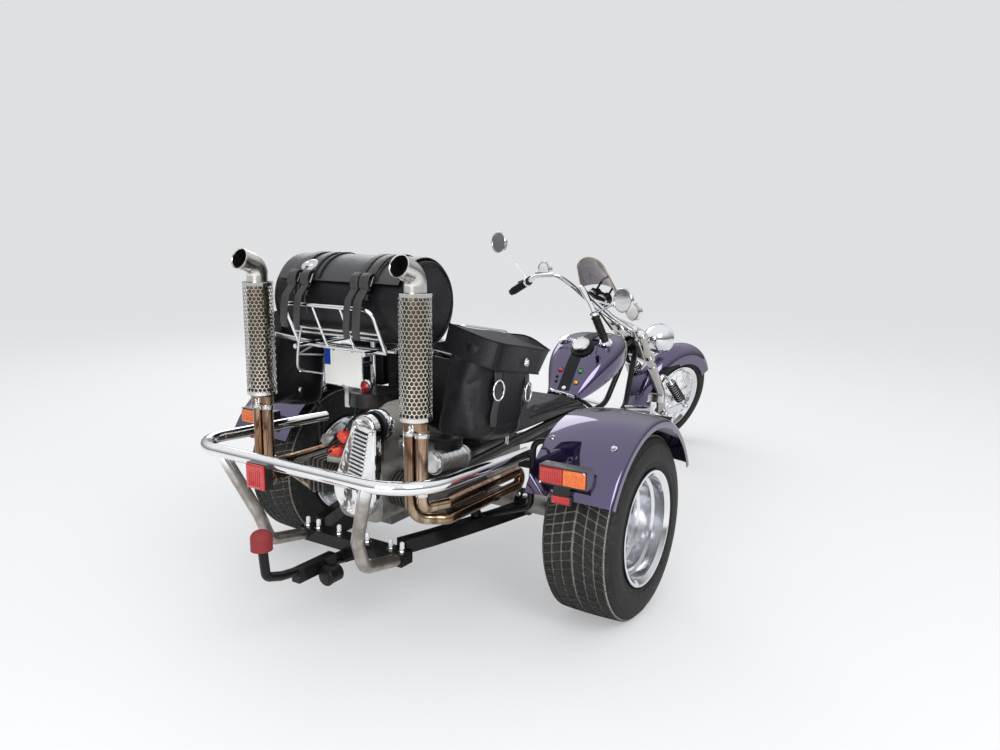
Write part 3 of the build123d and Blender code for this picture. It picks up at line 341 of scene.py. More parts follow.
def tyre_rubber():
    """Rubber, greyed by dust in the tread and browner down the sidewall."""
    paint = Paint("tyre_rubber", (0.010, 0.010, 0.010), 0.7, specular_ior_level=0.15)
    dust = paint.noise(60, 5).fade(0.4, 0.8)
    stain = paint.noise(8, 3).fade(0.4, 0.7)
    rubber = paint.mix(dust * 0.5 + stain * 0.15, (0.015, 0.0155, 0.016), (0.060, 0.056, 0.050))
    out = ((paint.x - axle_x) ** 2 + (paint.z - AXLE_HEIGHT * MM) ** 2) ** 0.5
    off = paint.y.largest(0 - paint.y) - WHEEL_Y * MM
    off = off.largest(0 - off)
    bend = (off - TREAD_BEND * MM).largest(0)
    crown = off * off * (TREAD_CROWN / TREAD_BEND**2 / MM) + bend * bend * 75
    in_tread = off.below(0.113) * (out + crown).above((TYRE_RADIUS - 12) * MM)
    groove = in_tread * (out + crown).below((TYRE_RADIUS - 3) * MM)
    pale = paint.mix(dust, (0.30, 0.29, 0.26), (0.17, 0.16, 0.14))
    return paint.finished(
        paint.mix(groove * 0.85, rubber, pale),
        0.56 + dust * 0.28,
        paint.noise(500, 2), 0.0005, 0.3,
    )


def worn(name, base, tones, marks, roughness, grain, **constants):
    """A finish whose soft marks bring in a second tone and roughen it, over a fine grain.

    marks: scale, detail, start and end of the fade, share of the second tone;
    roughness: clean, added by the marks; grain: scale, detail, depth, strength.
    """
    paint = Paint(name, base, **constants)
    scale, detail, low, high, share = marks
    mark = paint.noise(scale, detail).fade(low, high)
    size, octaves, depth, strength = grain
    color = paint.mix(mark * share, *tones)
    rough = roughness[0] + mark * roughness[1]
    return paint.finished(color, rough, paint.noise(size, octaves), depth, strength)


def plain_plastic(name, color, roughness=0.35, coat=0.3, shine=0.4):
    """Moulded plastic with a faint orange-peel and handling marks."""
    faded = tuple(0.85 * c + 0.01 for c in color)
    marks, grain = (30, 4, 0.5, 0.8, 0.4), (350, 2, 0.0003, 0.2)
    constants = {"coat_weight": coat, "coat_roughness": 0.1, "specular_ior_level": shine}
    return worn(name, color, (color, faded), marks, (roughness, 0.2), grain, **constants)


def soot():
    """Dry soot inside the exhaust mouths."""
    paint = Paint("soot", (0.004, 0.004, 0.004), specular_ior_level=0.05)
    flake = paint.noise(120, 4)
    color = paint.mix(flake, (0.003, 0.003, 0.003), (0.010, 0.009, 0.008))
    return paint.finished(color, 0.9, flake, 0.001, 0.4)


def lamp_body():
    """Lamp housings: dark plastic with a little dust."""
    paint = Paint("lamp_body", (0.02, 0.02, 0.02), coat_weight=0.3, coat_roughness=0.1)
    mark = paint.noise(12, 3).fade(0.5, 0.8)
    color = paint.mix(mark * 0.15, (0.010, 0.010, 0.010), (0.035, 0.032, 0.029))
    return paint.finished(color, 0.25 + mark * 0.1, mark, 0.0002, 0.05)


def dial_face():
    """White dial under a plain glass."""
    paint = Paint("dial_face", (0.7, 0.7, 0.68), coat_weight=1.0, coat_roughness=0.02)
    grain = paint.noise(90, 3)
    color = paint.mix(grain.fade(0.4, 0.7), (0.78, 0.78, 0.76), (0.72, 0.72, 0.70))
    return paint.finished(color, 0.10 + grain * 0.04)


def smoked_screen():
    """Brown-violet tinted screen, hazed in patches."""
    paint = Paint("smoked_screen", (0.20, 0.17, 0.24), 0.06, coat_weight=0.5, coat_roughness=0.03)
    haze = paint.noise(18, 4).fade(0.45, 0.8)
    paint.set("Alpha", 0.72 + haze * 0.04)
    color = paint.mix(haze * 0.15, (0.155, 0.118, 0.150), (0.30, 0.26, 0.29))
    return paint.finished(color, 0.06 + haze * 0.05)


def lens_plastic(name, color, deep):
    """Clear coloured lens over a fluted reflector."""
    paint = Paint(name, color, 0.12, coat_weight=0.8, coat_roughness=0.03)
    flutes = paint.cells(260, "SMOOTH_F1").fade(0.1, 0.7)
    haze = paint.noise(45, 4).fade(0.45, 0.8)
    return paint.finished(
        paint.mix(flutes * 0.6, color, deep),
        0.10 + haze * 0.15,
        flutes, 0.0012, 0.35,
    )


def plate_white():
    """Blank reflective plate: white face with a blue patch at one end, black bracket behind; the
    face has a painted glow from emission.
    """
    coat = {"coat_weight": 0.4, "coat_roughness": 0.1}
    # painted glow: the plate emits light at strength 0.22 though it is no lamp
    paint = Paint("plate_white", (0.84, 0.84, 0.82), emission_strength=0.22, **coat)
    face = between(paint.y, 0.139, 0.334) * between(paint.z, 0.786, 0.943)
    face = (paint.x - axle_x).below(-0.3765) * face
    band = paint.y.above(0.300) * face * paint.z.above(0.864)
    dirt = paint.noise(50, 4).fade(0.5, 0.85)
    white = paint.mix(dirt * 0.2, (0.86, 0.86, 0.84), (0.55, 0.53, 0.49))
    plate = paint.mix(band, white, (0.01, 0.05, 0.36))
    # painted glow: the face emits its own white and blue colour
    paint.set("Emission Color", paint.mix(face, (0.0, 0.0, 0.0), plate))
    color = paint.mix(face, (0.012, 0.012, 0.012), plate)
    return paint.finished(color, 0.28 + dirt * 0.2, paint.cells(900), 0.0002, 0.15)


finishes = {
    "frame": frame_black(),
    "purple": purple_lacquer(),
    "chrome": chrome(),
    "dull_chrome": chrome("dull_chrome", (0.58, 0.58, 0.58), 0.12),
    "pipe": heat_tint(),
    "soot": soot(),
    # old chrome sheet whose reflections break up
    "hammered": worn(
        "hammered_chrome",
        (0.72, 0.72, 0.73),
        ((0.74, 0.74, 0.75), (0.42, 0.40, 0.38)),
        (16, 4, 0.45, 0.8, 0.4),
        (0.07, 0.08),
        (17, 2, 0.010, 0.3),
        metallic=1.0,
    ),
    "bumper": bumper_chrome(),
    "shield": chrome("shield_steel", (0.56, 0.55, 0.52), 0.03),
    "fork_metal": chrome("fork_metal", (0.46, 0.44, 0.42), 0.06),
    # brake dust in the corners of the polish
    "rim": worn(
        "polished_alloy",
        (0.72, 0.72, 0.74),
        ((0.72, 0.73, 0.75), (0.40, 0.40, 0.40)),
        (12, 3, 0.5, 0.8, 0.2),
        (0.16, 0.06),
        (20, 2, 0.0001, 0.01),
        metallic=1.0,
    ),
    "cast": cast_alloy(),
    "cast_pale": cast_alloy("pale_cast_alloy", (0.46, 0.44, 0.39), 0.35),
    # grey iron, sooty and rusting
    "iron": worn(
        "engine_iron",
        (0.12, 0.11, 0.10),
        ((0.10, 0.095, 0.09), (0.14, 0.075, 0.045)),
        (35, 5, 0.52, 0.7, 0.6),
        (0.5, 0.3),
        (300, 3, 0.0006, 0.5),
        metallic=0.6,
    ),
    # black enamel, greasy in patches
    "black_steel": worn(
        "black_steel",
        (0.010, 0.010, 0.010),
        ((0.009, 0.009, 0.009), (0.034, 0.029, 0.024)),
        (18, 4, 0.45, 0.7, 1.0),
        (0.3, 0.3),
        (260, 2, 0.0004, 0.3),
        coat_weight=0.2,
        coat_roughness=0.15,
        specular_ior_level=0.3,
    ),
    "leather": leather(),
    # lighter tone than the other leather: painted sheen of the sky on the roll's flap
    "flap_leather": leather("flap_leather", 0.9, (0.022, 0.023, 0.026), 0.55),
    "strap_leather": leather("strap_leather", 1.0, (0.022, 0.022, 0.023), 0.4),
    "dark_buckle": chrome("dark_buckle", (0.14, 0.135, 0.13), 0.2),
    "rubber": tyre_rubber(),
    "black_plastic": plain_plastic("black_plastic", (0.007, 0.007, 0.007), 0.38, 0.05, 0.2),
    "white_plastic": plain_plastic("white_plastic", (0.72, 0.72, 0.70)),
    "red_plastic": plain_plastic("red_plastic", (0.62, 0.05, 0.022)),
    "red_cap": plain_plastic("red_cap", (0.20, 0.026, 0.028), 0.6, 0.0, 0.2),
    "red_lens": lens_plastic("red_lens", (0.50, 0.007, 0.007), (0.20, 0.002, 0.003)),
    "amber_lens": lens_plastic("amber_lens", (0.80, 0.17, 0.012), (0.42, 0.06, 0.005)),
    "yellow_lens": lens_plastic("yellow_lens", (0.72, 0.42, 0.03), (0.45, 0.22, 0.01)),
    "green_lens": lens_plastic("green_lens", (0.02, 0.30, 0.05), (0.01, 0.12, 0.02)),
    "clear_lens": lens_plastic("clear_lens", (0.62, 0.64, 0.66), (0.34, 0.35, 0.37)),
    "dial": dial_face(),
    "mirror": chrome("mirror", (0.82, 0.82, 0.84), 0.0),
    "duct": chrome("silver_duct", (0.62, 0.62, 0.62), 0.25),
    "screen_rim": plain_plastic("screen_rim", (0.42, 0.33, 0.22), 0.4),
    "screen": smoked_screen(),
    "lamps": lamp_body(),
    "plate": plate_white(),
}

CAD_FINISHES = {
    "frame": "frame_rails upper_frame tow_bar fender_stays",
    "red_cap": "ball_cap",
    "purple": "fender_left fender_right front_fender tank",
    "bumper": "bumper",
    "chrome":
        "luggage_rack foot_controls tank_fittings heat_shield_left heat_shield_right "
        "fork_links handlebar mirrors front_lamps front_wheel",
    "hammered": "belt_guard",
    "fork_metal": "fork",
    "pipe": "exhaust_left exhaust_right",
    "rim": "rear_wheel_left rear_wheel_right",
    "cast": "transaxle crankcase",
    "iron": "cylinders_left cylinders_right",
    "black_steel": "alternator intake",
    "red_plastic": "distributor",
    "leather": "seat roll_bag saddlebag_left saddlebag_right",
    "black_plastic": "grips instruments",
    "screen": "windscreen",
    "lamps": "rear_lamps",
    "plate": "number_plate",
    "rubber": "rear_tyre_left rear_tyre_right front_tyre",
}


def dress_cad_nodes():
    """Give every node of the frame its finish."""
    for finish, nodes in CAD_FINISHES.items():
        for node in nodes.split():
            materials = frame["nodes"][node].data.materials
            materials.clear()
            materials.append(finishes[finish])


def camera():
    """The photograph's own view."""
    data = bpy.data.cameras.new("camera")
    data.sensor_width = 36.0
    data.lens = FOCAL_PIXELS * data.sensor_width / IMAGE_WIDTH
    data.clip_end = 200
    seat_of_view = bpy.data.objects.new("camera", data)
    up, back = ([-part for part in way] for way in (CAMERA_DOWN, CAMERA_FORWARD))
    turn = Matrix((CAMERA_RIGHT, up, back)).transposed()
    seat_of_view.matrix_world = Matrix.Translation(at(*CAMERA_PLACE)) @ turn.to_4x4()
    bpy.context.scene.collection.objects.link(seat_of_view)
    bpy.context.scene.camera = seat_of_view


def lamp(name, place, target, power, size):
    """A large soft lamp that faces a point."""
    data = bpy.data.lights.new(name, "AREA")
    data.energy = power
    data.size = size
    holder = bpy.data.objects.new(name, data)
    holder.location = place
    holder.rotation_euler = (Vector(target) - Vector(place)).to_track_quat("-Z", "Y").to_euler()
    bpy.context.scene.collection.objects.link(holder)


def sky_light():
    """Even sky: dim at the horizon and bright overhead, but seen by the camera as one pale tone."""
    world = bpy.data.worlds.new("sky")
    world.use_nodes = True
    bpy.context.scene.world = world
    nodes, links = world.node_tree.nodes, world.node_tree.links
    background = nodes["Background"]
    background.inputs["Color"].default_value = (*SKY_TONE, 1)
    split = nodes.new("ShaderNodeSeparateXYZ")
    links.new(nodes.new("ShaderNodeTexCoord").outputs["Generated"], split.inputs[0])
    height = nodes.new("ShaderNodeMapRange")
    limits = {"From Min": 0.02, "From Max": 0.6, "To Min": 0.16, "To Max": 1.1}
    for limit, value in limits.items():
        height.inputs[limit].default_value = value
    links.new(split.outputs["Z"], height.inputs["Value"])
    rays = nodes.new("ShaderNodeLightPath")
    seen = nodes.new("ShaderNodeMath")
    seen.operation = "MAXIMUM"
    links.new(rays.outputs["Is Camera Ray"], seen.inputs[0])
    links.new(rays.outputs["Is Transmission Ray"], seen.inputs[1])
    strength = nodes.new("ShaderNodeMix")
    links.new(seen.outputs[0], strength.inputs[0])
    links.new(height.outputs[0], strength.inputs[2])
    strength.inputs[3].default_value = SEEN_SKY
    links.new(strength.outputs[0], background.inputs["Strength"])


def floor_paint():
    """Pale floor that takes the shadow and fades into the sky's tone far off."""
    paint = Paint("floor", (0.80, 0.80, 0.79), 0.9, specular_ior_level=0.1)
    cloud = paint.noise(1.5, 4) * 0.3
    paint.set("Base Color", paint.mix(cloud, (0.82, 0.82, 0.82), (0.79, 0.79, 0.79)))
    tone = (*[SEEN_SKY * part for part in SKY_TONE], 1)
    glow = paint.node("ShaderNodeEmission", {}, {"Color": tone, "Strength": 1.0})
    camera_ray = Reading(paint, paint.node("ShaderNodeLightPath").outputs["Is Camera Ray"])
    far = ((paint.x * paint.x + paint.y * paint.y) ** 0.5).fade(2.2, 11)
    share = camera_ray * (0.42 + far * 0.58)
    sockets = {0: share, 1: paint.shader.outputs[0], 2: glow.outputs[0]}
    mixed = paint.node("ShaderNodeMixShader", {}, sockets)
    paint.feed(paint.tree.nodes["Material Output"].inputs["Surface"], mixed.outputs[0])
    return paint.material


def studio():
    """Pale floor, even sky and two soft lamps."""
    bpy.ops.object.select_all(action="DESELECT")
    bpy.ops.mesh.primitive_plane_add(size=80, location=(0, 0, 0))
    floor = bpy.context.object
    floor.name = "floor"
    floor.data.materials.append(floor_paint())
    sky_light()
    lamp("key_lamp", (-3.5, -5.0, 4.8), (0, 0, 0.6), 190, 3.2)
    lamp("fill_lamp", (3.5, 4.5, 4.2), (0, 0, 0.6), 90, 3.5)
    lamp("rear_lamp", (-6.0, -1.0, 2.4), (-1.0, 0, 0.7), 110, 2.6)
    bpy.context.scene.view_settings.view_transform = "Standard"


def select_only(*pieces):
    """Select these pieces alone; the first is the active one."""
    bpy.ops.object.select_all(action="DESELECT")
    for piece in pieces:
        piece.select_set(True)
    bpy.context.view_layer.objects.active = pieces[0]


def fresh(name):
    """Name the primitive that was just added and set its place into its mesh."""
    piece = bpy.context.object
    piece.name = name
    bpy.ops.object.transform_apply(location=True, rotation=True, scale=True)
    return piece


@contextmanager
def editing(piece, kind="FACE", whole=False):
    """Edit mode on one piece, with the whole of it or nothing selected."""
    select_only(piece)
    bpy.ops.object.mode_set(mode="EDIT")
    bpy.ops.mesh.select_mode(type=kind)
    bpy.ops.mesh.select_all(action="SELECT" if whole else "DESELECT")
    yield
    bpy.ops.object.mode_set(mode="OBJECT")


def pick(piece, test, kind="faces"):
    """Select the faces, edges or vertices that pass a test, and no others."""
    bpy.ops.mesh.select_mode(type={"faces": "FACE", "edges": "EDGE", "verts": "VERT"}[kind])
    bpy.ops.mesh.select_all(action="DESELECT")
    shape = bmesh.from_edit_mesh(piece.data)
    shape.normal_update()
    for element in getattr(shape, kind):
        element.select_set(bool(test(element)))
    shape.select_flush_mode()
    bmesh.update_edit_mesh(piece.data)


def shift_points(piece, test, move):
    """In edit mode, move the points whose place passes a test; the move is in millimetres."""
    pick(piece, lambda point: test(point.co), "verts")
    bpy.ops.transform.translate(value=[part * MM for part in move])


def turn_outwards():
    """Turn every face outwards."""
    bpy.ops.mesh.select_all(action="SELECT")
    bpy.ops.mesh.normals_make_consistent(inside=False)


def close_shell(within=0.01):
    """Merge points that lie within some millimetres and turn every face outwards."""
    bpy.ops.mesh.select_all(action="SELECT")
    bpy.ops.mesh.remove_doubles(threshold=within * MM)
    turn_outwards()


def modify(piece, kind, **settings):
    """Add a modifier with its settings and apply it."""
    select_only(piece)
    modifier = piece.modifiers.new(kind.lower(), kind)
    for key, value in settings.items():
        setattr(modifier, key, value)
    bpy.ops.object.modifier_apply(modifier=modifier.name)


def set_in_place(piece, matrix):
    """Move a piece by a matrix and keep the place in its mesh; turn a mirrored one outwards."""
    select_only(piece)
    piece.matrix_world = matrix
    bpy.ops.object.transform_apply(location=True, rotation=True, scale=True)
    if matrix.determinant() < 0:
        with editing(piece):
            close_shell()
    return piece


def copy_to(piece, name, matrix):
    """A copy with its own mesh, moved by a matrix."""
    twin = piece.copy()
    twin.data = piece.data.copy()
    twin.name = name
    bpy.context.scene.collection.objects.link(twin)
    return set_in_place(twin, matrix)


def mirrored(piece, name):
    """The same piece on the machine's other side."""
    return copy_to(piece, name, Matrix.Scale(-1, 4, (0, 1, 0)))


def join(name, *pieces):
    """Several meshes as one piece."""
    select_only(*pieces)
    bpy.ops.object.join()
    pieces[0].name = name
    return pieces[0]


def done(piece, finish, body="chassis", sharp=35):
    """Smooth, finish and ride: the last step of every piece."""
    select_only(piece)
    bpy.ops.object.shade_smooth_by_angle(angle=radians(sharp))
    piece.data.materials.clear()
    piece.data.materials.append(finishes[finish])
    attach(piece, body)
    return piece


def standing(base, toward):
    """A frame at base whose Z points toward a second place."""
    direction = Vector(toward) - Vector(base)
    return Matrix.Translation(base) @ direction.to_track_quat("Z", "Y").to_matrix().to_4x4()


def line(name, points):
    """A chain of edges through points in metres."""
    bpy.ops.object.select_all(action="DESELECT")
    bpy.ops.mesh.primitive_plane_add(size=MM, location=points[0])
    piece = fresh(name)
    with editing(piece, "VERT", True):
        bpy.ops.mesh.merge(type="CENTER")
        for step in steps(points):
            bpy.ops.mesh.extrude_vertices_move(TRANSFORM_OT_translate={"value": step})
    return piece


def sheet(name, points, sweep, shift=None):
    """A sheet: a chain of edges through points, shifted, then swept by one step after another."""
    piece = line(name, points)
    with editing(piece, "EDGE", True):
        if shift:
            bpy.ops.transform.translate(value=shift)
        for step in sweep:
            bpy.ops.mesh.extrude_edges_move(TRANSFORM_OT_translate={"value": step})
        turn_outwards()
    return piece


def repeated(piece, count, step):
    """Repeat a flat pattern by a step in millimetres and merge the copies where they meet."""
    modify(
        piece,
        "ARRAY",
        count=count,
        use_relative_offset=False,
        use_constant_offset=True,
        constant_offset_displace=[part * MM for part in step],
        use_merge_vertices=True,
        merge_threshold=0.05 * MM,
    )


def turned(name, profile, base, toward, sides=32):
    """A piece turned on the lathe: radius and height in millimetres, from base toward a place."""
    return turned_in(standing(base, toward), name, profile, sides)


def turned_in(matrix, name, profile, sides=32):
    """The same round the Z of a frame."""
    piece = line(name, [Vector((radius * MM, 0, height * MM)) for radius, height in profile])
    with editing(piece, "VERT", True):
        bpy.ops.mesh.spin(steps=sides, angle=tau, center=(0, 0, 0), axis=(0, 0, 1))
        close_shell()
    return set_in_place(piece, matrix)


def wire(name, points, radius, smooth=True):
    """A round wire or hose through control points in metres."""
    curve = bpy.data.curves.new(name, "CURVE")
    curve.dimensions = "3D"
    curve.bevel_depth = radius * MM
    curve.bevel_resolution = 3
    curve.use_fill_caps = True
    spline = curve.splines.new("NURBS" if smooth else "POLY")
    spline.points.add(len(points) - 1)
    for control, place in zip(spline.points, points):
        control.co = (*place, 1.0)
    if smooth:
        spline.order_u = 3
        spline.use_endpoint_u = True
        spline.resolution_u = 6
    piece = bpy.data.objects.new(name, curve)
    bpy.context.scene.collection.objects.link(piece)
    select_only(piece)
    bpy.ops.object.convert(target="MESH")
    piece = bpy.context.object
    with editing(piece):
        close_shell()
    return piece


def hose(name, places, radius, smooth=True):
    """A wire through places on the machine in millimetres."""
    return wire(name, [at(*place) for place in places], radius, smooth)


def strap(name, points, across, thickness):
    """A flat strap along points in metres; across is its width as a vector."""
    piece = sheet(name, [points[0] - across / 2, points[0] + across / 2], steps(points))
    modify(piece, "SOLIDIFY", thickness=thickness * MM, offset=0)
    modify(piece, "BEVEL", width=0.3 * thickness * MM, segments=2, limit_method="ANGLE")
    return piece


def slab(name, size, place, rounding, segments=3):
    """A block with every edge rounded, in millimetres, at a place or in a frame of its own."""
    bpy.ops.object.select_all(action="DESELECT")
    bpy.ops.mesh.primitive_cube_add(size=1, scale=[edge * MM for edge in size])
    piece = fresh(name)
    with editing(piece, "EDGE", True):
        bpy.ops.mesh.bevel(offset=rounding * MM, segments=segments)
    own = place if isinstance(place, Matrix) else Matrix.Translation(at(*place))
    return set_in_place(piece, own)


def bolt(name, base, toward, radius, height):
    """A hexagon head on its washer."""
    washer = [(0, 0), (1.5 * radius, 0), (1.5 * radius, 1.2), (1.3 * radius, 1.6), (0, 1.6)]
    head = [(0, 1), (radius, 1), (radius, 0.85 * height), (0.86 * radius, height), (0, height)]
    parts = [turned(name, washer, base, toward, 16), turned(f"{name}_head", head, base, toward, 6)]
    return join(name, *parts)


def dented(piece, depth, scale, seed=0.0):
    """Press soft dents into leather, deeper than the grain; scale is cycles per metre each way."""
    for vertex in piece.data.vertices:
        place = Vector([a * b for a, b in zip(vertex.co, scale)]) + Vector((seed, seed, seed))
        vertex.co += vertex.normal * depth * MM * noise.noise(place)


def swell(piece, voxel, most, pinned):
    """Fill a leather form: remesh it, press it outwards as cloth, hold each point near home."""
    modify(piece, "REMESH", mode="VOXEL", voxel_size=voxel * MM)
    home = [vertex.co.copy() for vertex in piece.data.vertices]
    cloth = piece.modifiers.new("cloth", "CLOTH")
    cloth.settings.effector_weights.gravity = 0
    cloth.settings.use_pressure = True
    cloth.settings.uniform_pressure_force = 4.0
    group = piece.vertex_groups.new(name="seams")
    seams = [vertex.index for vertex in piece.data.vertices if pinned(vertex.co)]
    group.add(seams, 1.0, "REPLACE")
    cloth.settings.vertex_group_mass = group.name
    for step in range(1, CLOTH_FRAMES + 1):
        bpy.context.scene.frame_set(step)
    select_only(piece)
    bpy.ops.object.modifier_apply(modifier=cloth.name)
    bpy.context.scene.frame_set(1)
    for vertex, rest in zip(piece.data.vertices, home):
        move = vertex.co - rest
        if move.length > most * MM:
            vertex.co = rest + move.normalized() * most * MM
    piece.vertex_groups.clear()


def perforated_shields():
    """Guard tubes of pierced sheet round both stacks, each between two rolled end rings."""
    columns = 22
    pitch = tau * SHIELD_RADIUS / columns
    row = pitch * sqrt(0.75)
    margin = 8
    rows = 2 * round((SHIELD_TOP - SHIELD_BOTTOM - margin) / row / 2)
    hole = 0.42
    bpy.ops.object.select_all(action="DESELECT")
    bpy.ops.mesh.primitive_circle_add(vertices=12, radius=hole * pitch * MM, fill_type="NOTHING")
    shield = fresh("heat_shield_mesh_right")
    with editing(shield, "EDGE", True):
        bpy.ops.mesh.extrude_edges_move()
        bpy.ops.transform.resize(value=[0.5 / hole] * 3, center_override=(0, 0, 0))
        pick(shield, lambda v: v.co.length > 0.4 * pitch * MM and is_corner(v.co), "verts")
        bpy.ops.transform.resize(value=[sqrt(4 / 3)] * 3, center_override=(0, 0, 0))
    for across, up, count in ((0.5, 1, 2), (1, 0, columns), (0, 2, rows // 2)):
        repeated(shield, count, (across * pitch, up * row, 0))
    for vertex in shield.data.vertices:
        angle = vertex.co.x / (SHIELD_RADIUS * MM)
        height = vertex.co.y + (SHIELD_BOTTOM + margin) * MM
        vertex.co = at(STACK_X, -STACK_Y, 0) + around((SHIELD_RADIUS - 0.4) * MM, angle, height)
    with editing(shield):
        close_shell(0.05)
    modify(shield, "SOLIDIFY", thickness=1.6 * MM, offset=-1)
    ring = [(37, 0), (51, 0), (52, 1.5), (52, 12), (50.8, 13), (49, 12.5), (49, 4), (37, 4)]
    rings = []
    for z, way in ((SHIELD_BOTTOM, UPWARDS), (SHIELD_TOP, -UPWARDS)):
        base = at(STACK_X, -STACK_Y, z)
        rings.append(turned("ring", [*ring, ring[0]], base, base + way, 48))
    join(shield.name, shield, *rings)
    other = mirrored(shield, "heat_shield_mesh_left")
    for piece, node in ((shield, "heat_shield_right"), (other, "heat_shield_left")):
        done(piece, "shield", sharp=30)
        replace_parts(piece, node)


def is_corner(place):
    """A hexagon's corner rather than the middle of its side."""
    return round(degrees(place.xy.angle_signed(Vector((1, 0)))) / 30) % 2 == 1


def tread(name, ribs, rows, blocks, count, radius, depth, crown, chevron, bends=()):
    """A tyre's tread: one pitch of blocks, repeated, skewed and wrapped round the tyre.

    ribs: from, to and kind; rows: where the pitch's rows start; blocks: what stands proud of each
    kind; crown: how far the tread falls off; bends: further edges for it.
    """
    pitch = tau * radius / count
    edges = sorted({edge for rib in ribs for edge in rib[:2]} | set(bends))
    sweep = [(0, (end - start) * MM, 0) for start, end in zip(rows, [*rows[1:], pitch])]
    piece = sheet(name, [Vector((edge * MM, 0, 0)) for edge in edges], sweep)
    with editing(piece):
        for left, right, kind in ribs:
            pick(piece, lambda face: in_block(face, left, right, blocks[kind]))
            step = {"value": (0, 0, depth * MM)}
            bpy.ops.mesh.extrude_region_move(TRANSFORM_OT_translate=step)
    repeated(piece, count, (0, pitch, 0))
    for vertex in piece.data.vertices:
        across, along, height = vertex.co / MM
        angle = (along + chevron * abs(across)) / radius
        vertex.co = around(radius - depth + height - crown(abs(across)), angle, across) * MM
    with editing(piece):
        close_shell()
    return piece


def in_block(face, left, right, blocks):
    """Whether a face of the flat tread lies on a rib's raised blocks."""
    middle = face.calc_center_median() / MM
    return left < middle.x < right and any(low < middle.y < high for low, high in blocks)


def treaded_tyre(name, tread_ring, sidewall, matrix, body, node):
    """A tyre from its tread and its sidewall's radii and half widths, closed inside."""
    profile = sidewall + [(radius, -half) for radius, half in reversed(sidewall)]
    carcass = turned_in(STILL, f"{name}_carcass", profile + [profile[0]], 96)
    tyre = set_in_place(join(name, carcass, tread_ring), matrix)
    done(tyre, "rubber", body, 30)
    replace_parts(tyre, node)


def rear_tyres():
    """Wide road tyres: ribs, slanted shoulder blocks and sidewalls with raised rings."""
    ribs = [(-73, -44, "rib"), (-37, -5, "rib"), (5, 37, "rib"), (44, 73, "rib")]
    ribs = [(-120, -80, "shoulder"), *ribs, (80, 120, "shoulder")]
    blocks = {"rib": [(0, 28)], "shoulder": [(0, 12.5), (15, 28)]}
    sidewall = [
        (329, 0), (326, 108), (318, 119), (309, 125), (303, 128), (302, 130.5), (298, 131),
        (284, 134.4), (268, 136), (252, 135.4), (238, 133), (236, 134.6), (232, 134.4), (230, 131),
        (221, 127.5), (214, 122), (209, 118), (204, 118), (191, 116), (191, 104),
    ]
    bend = TREAD_BEND

    def crown(x):
        return TREAD_CROWN * (x / bend) ** 2 + 0.075 * max(0, x - bend) ** 2

    rows = (0, 12.5, 15, 28)
    ring = tread("tread", ribs, rows, blocks, 64, TYRE_RADIUS, 8, crown, 0.32, (-bend, bend))
    for side, name in reversed(SIDES):
        own = ring if side > 0 else copy_to(ring, "tread_right", STILL)
        hub = at(0, side * WHEEL_Y, AXLE_HEIGHT)
        place = standing(hub, hub + Vector((0, side, 0)))
        body, node = f"wheel_rear_{name}", f"rear_tyre_{name}"
        treaded_tyre(f"road_tyre_{name}", own, sidewall, place, body, node)


def front_ribbed_tyre():
    """Narrow front tyre with plain ribs and nicked shoulders."""
    ribs = [(-20, -8, "rib"), (-4, 4, "rib"), (8, 20, "rib")]
    ribs = [(-42, -25, "shoulder"), *ribs, (25, 42, "shoulder")]
    blocks = {"rib": [(0, 99)], "shoulder": [(0, 12), (14, 25)]}
    sidewall = [
        (322, 0), (319, 30), (311, 42), (300, 50), (292, 55), (290, 57.5), (284, 60), (262, 65),
        (246, 62.5), (240, 61.5), (238, 59), (228, 51), (221, 46), (203, 45), (203, 38),
    ]

    def crown(x):
        return 3 * (x / 30) ** 2 + 0.09 * max(0, x - 30) ** 2

    ring = tread("front_tread", ribs, (0, 12, 14, 25), blocks, 76, 330, 6, crown, 0.25)
    place = standing(front_hub, front_hub + fork_left)
    treaded_tyre("front_road_tyre", ring, sidewall, place, "wheel_front", "front_tyre")


def bag_frame(side):
    """A saddlebag's own frame: along it, outwards and up."""
    pitch = radians(BAG_PITCH)
    c, s = cos(pitch), sin(pitch)
    turn = Matrix(((c, 0, s), (0, side, 0), (-s, 0, c))).to_4x4()
    return Matrix.Translation(at(BAG_TOP[0], side * BAG_INNER_Y, BAG_TOP[1])) @ turn


def bag_block(name, low, high, slope):
    """A block between two corners in the bag's frame, its top sloped down outwards."""
    middle = (Vector(low) + Vector(high)) / 2 * MM
    size = (Vector(high) - Vector(low)) * MM
    bpy.ops.object.select_all(action="DESELECT")
    bpy.ops.mesh.primitive_cube_add(size=1, location=middle, scale=size)
    piece = fresh(name)
    with editing(piece):
        shift_points(piece, lambda p: p.z > middle.z and p.y > middle.y, (0, 0, -slope))
    return piece


def round_edges(piece, test, width, segments=5):
    """Round the edges whose middle and direction pass a test."""

    def passes(edge):
        return test((edge.verts[0].co + edge.verts[1].co) / 2, edge_way(edge))

    with editing(piece):
        pick(piece, passes, "edges")
        bpy.ops.mesh.bevel(offset=width * MM, segments=segments)


def edge_way(edge):
    return (edge.verts[1].co - edge.verts[0].co).normalized()


def piping(piece, name, test, radius):
    """A welt that follows the piece's edges that pass a test."""
    with editing(piece):
        pick(piece, test, "edges")
        bpy.ops.mesh.duplicate()
        bpy.ops.mesh.separate(type="SELECTED")
    welt = next(other for other in bpy.context.selected_objects if other != piece)
    welt.name = name
    select_only(welt)
    bpy.ops.object.convert(target="CURVE")
    welt.data.bevel_depth = radius * MM
    welt.data.bevel_resolution = 2
    bpy.ops.object.convert(target="MESH")
    welt = bpy.context.object
    with editing(welt):
        close_shell()
    return welt


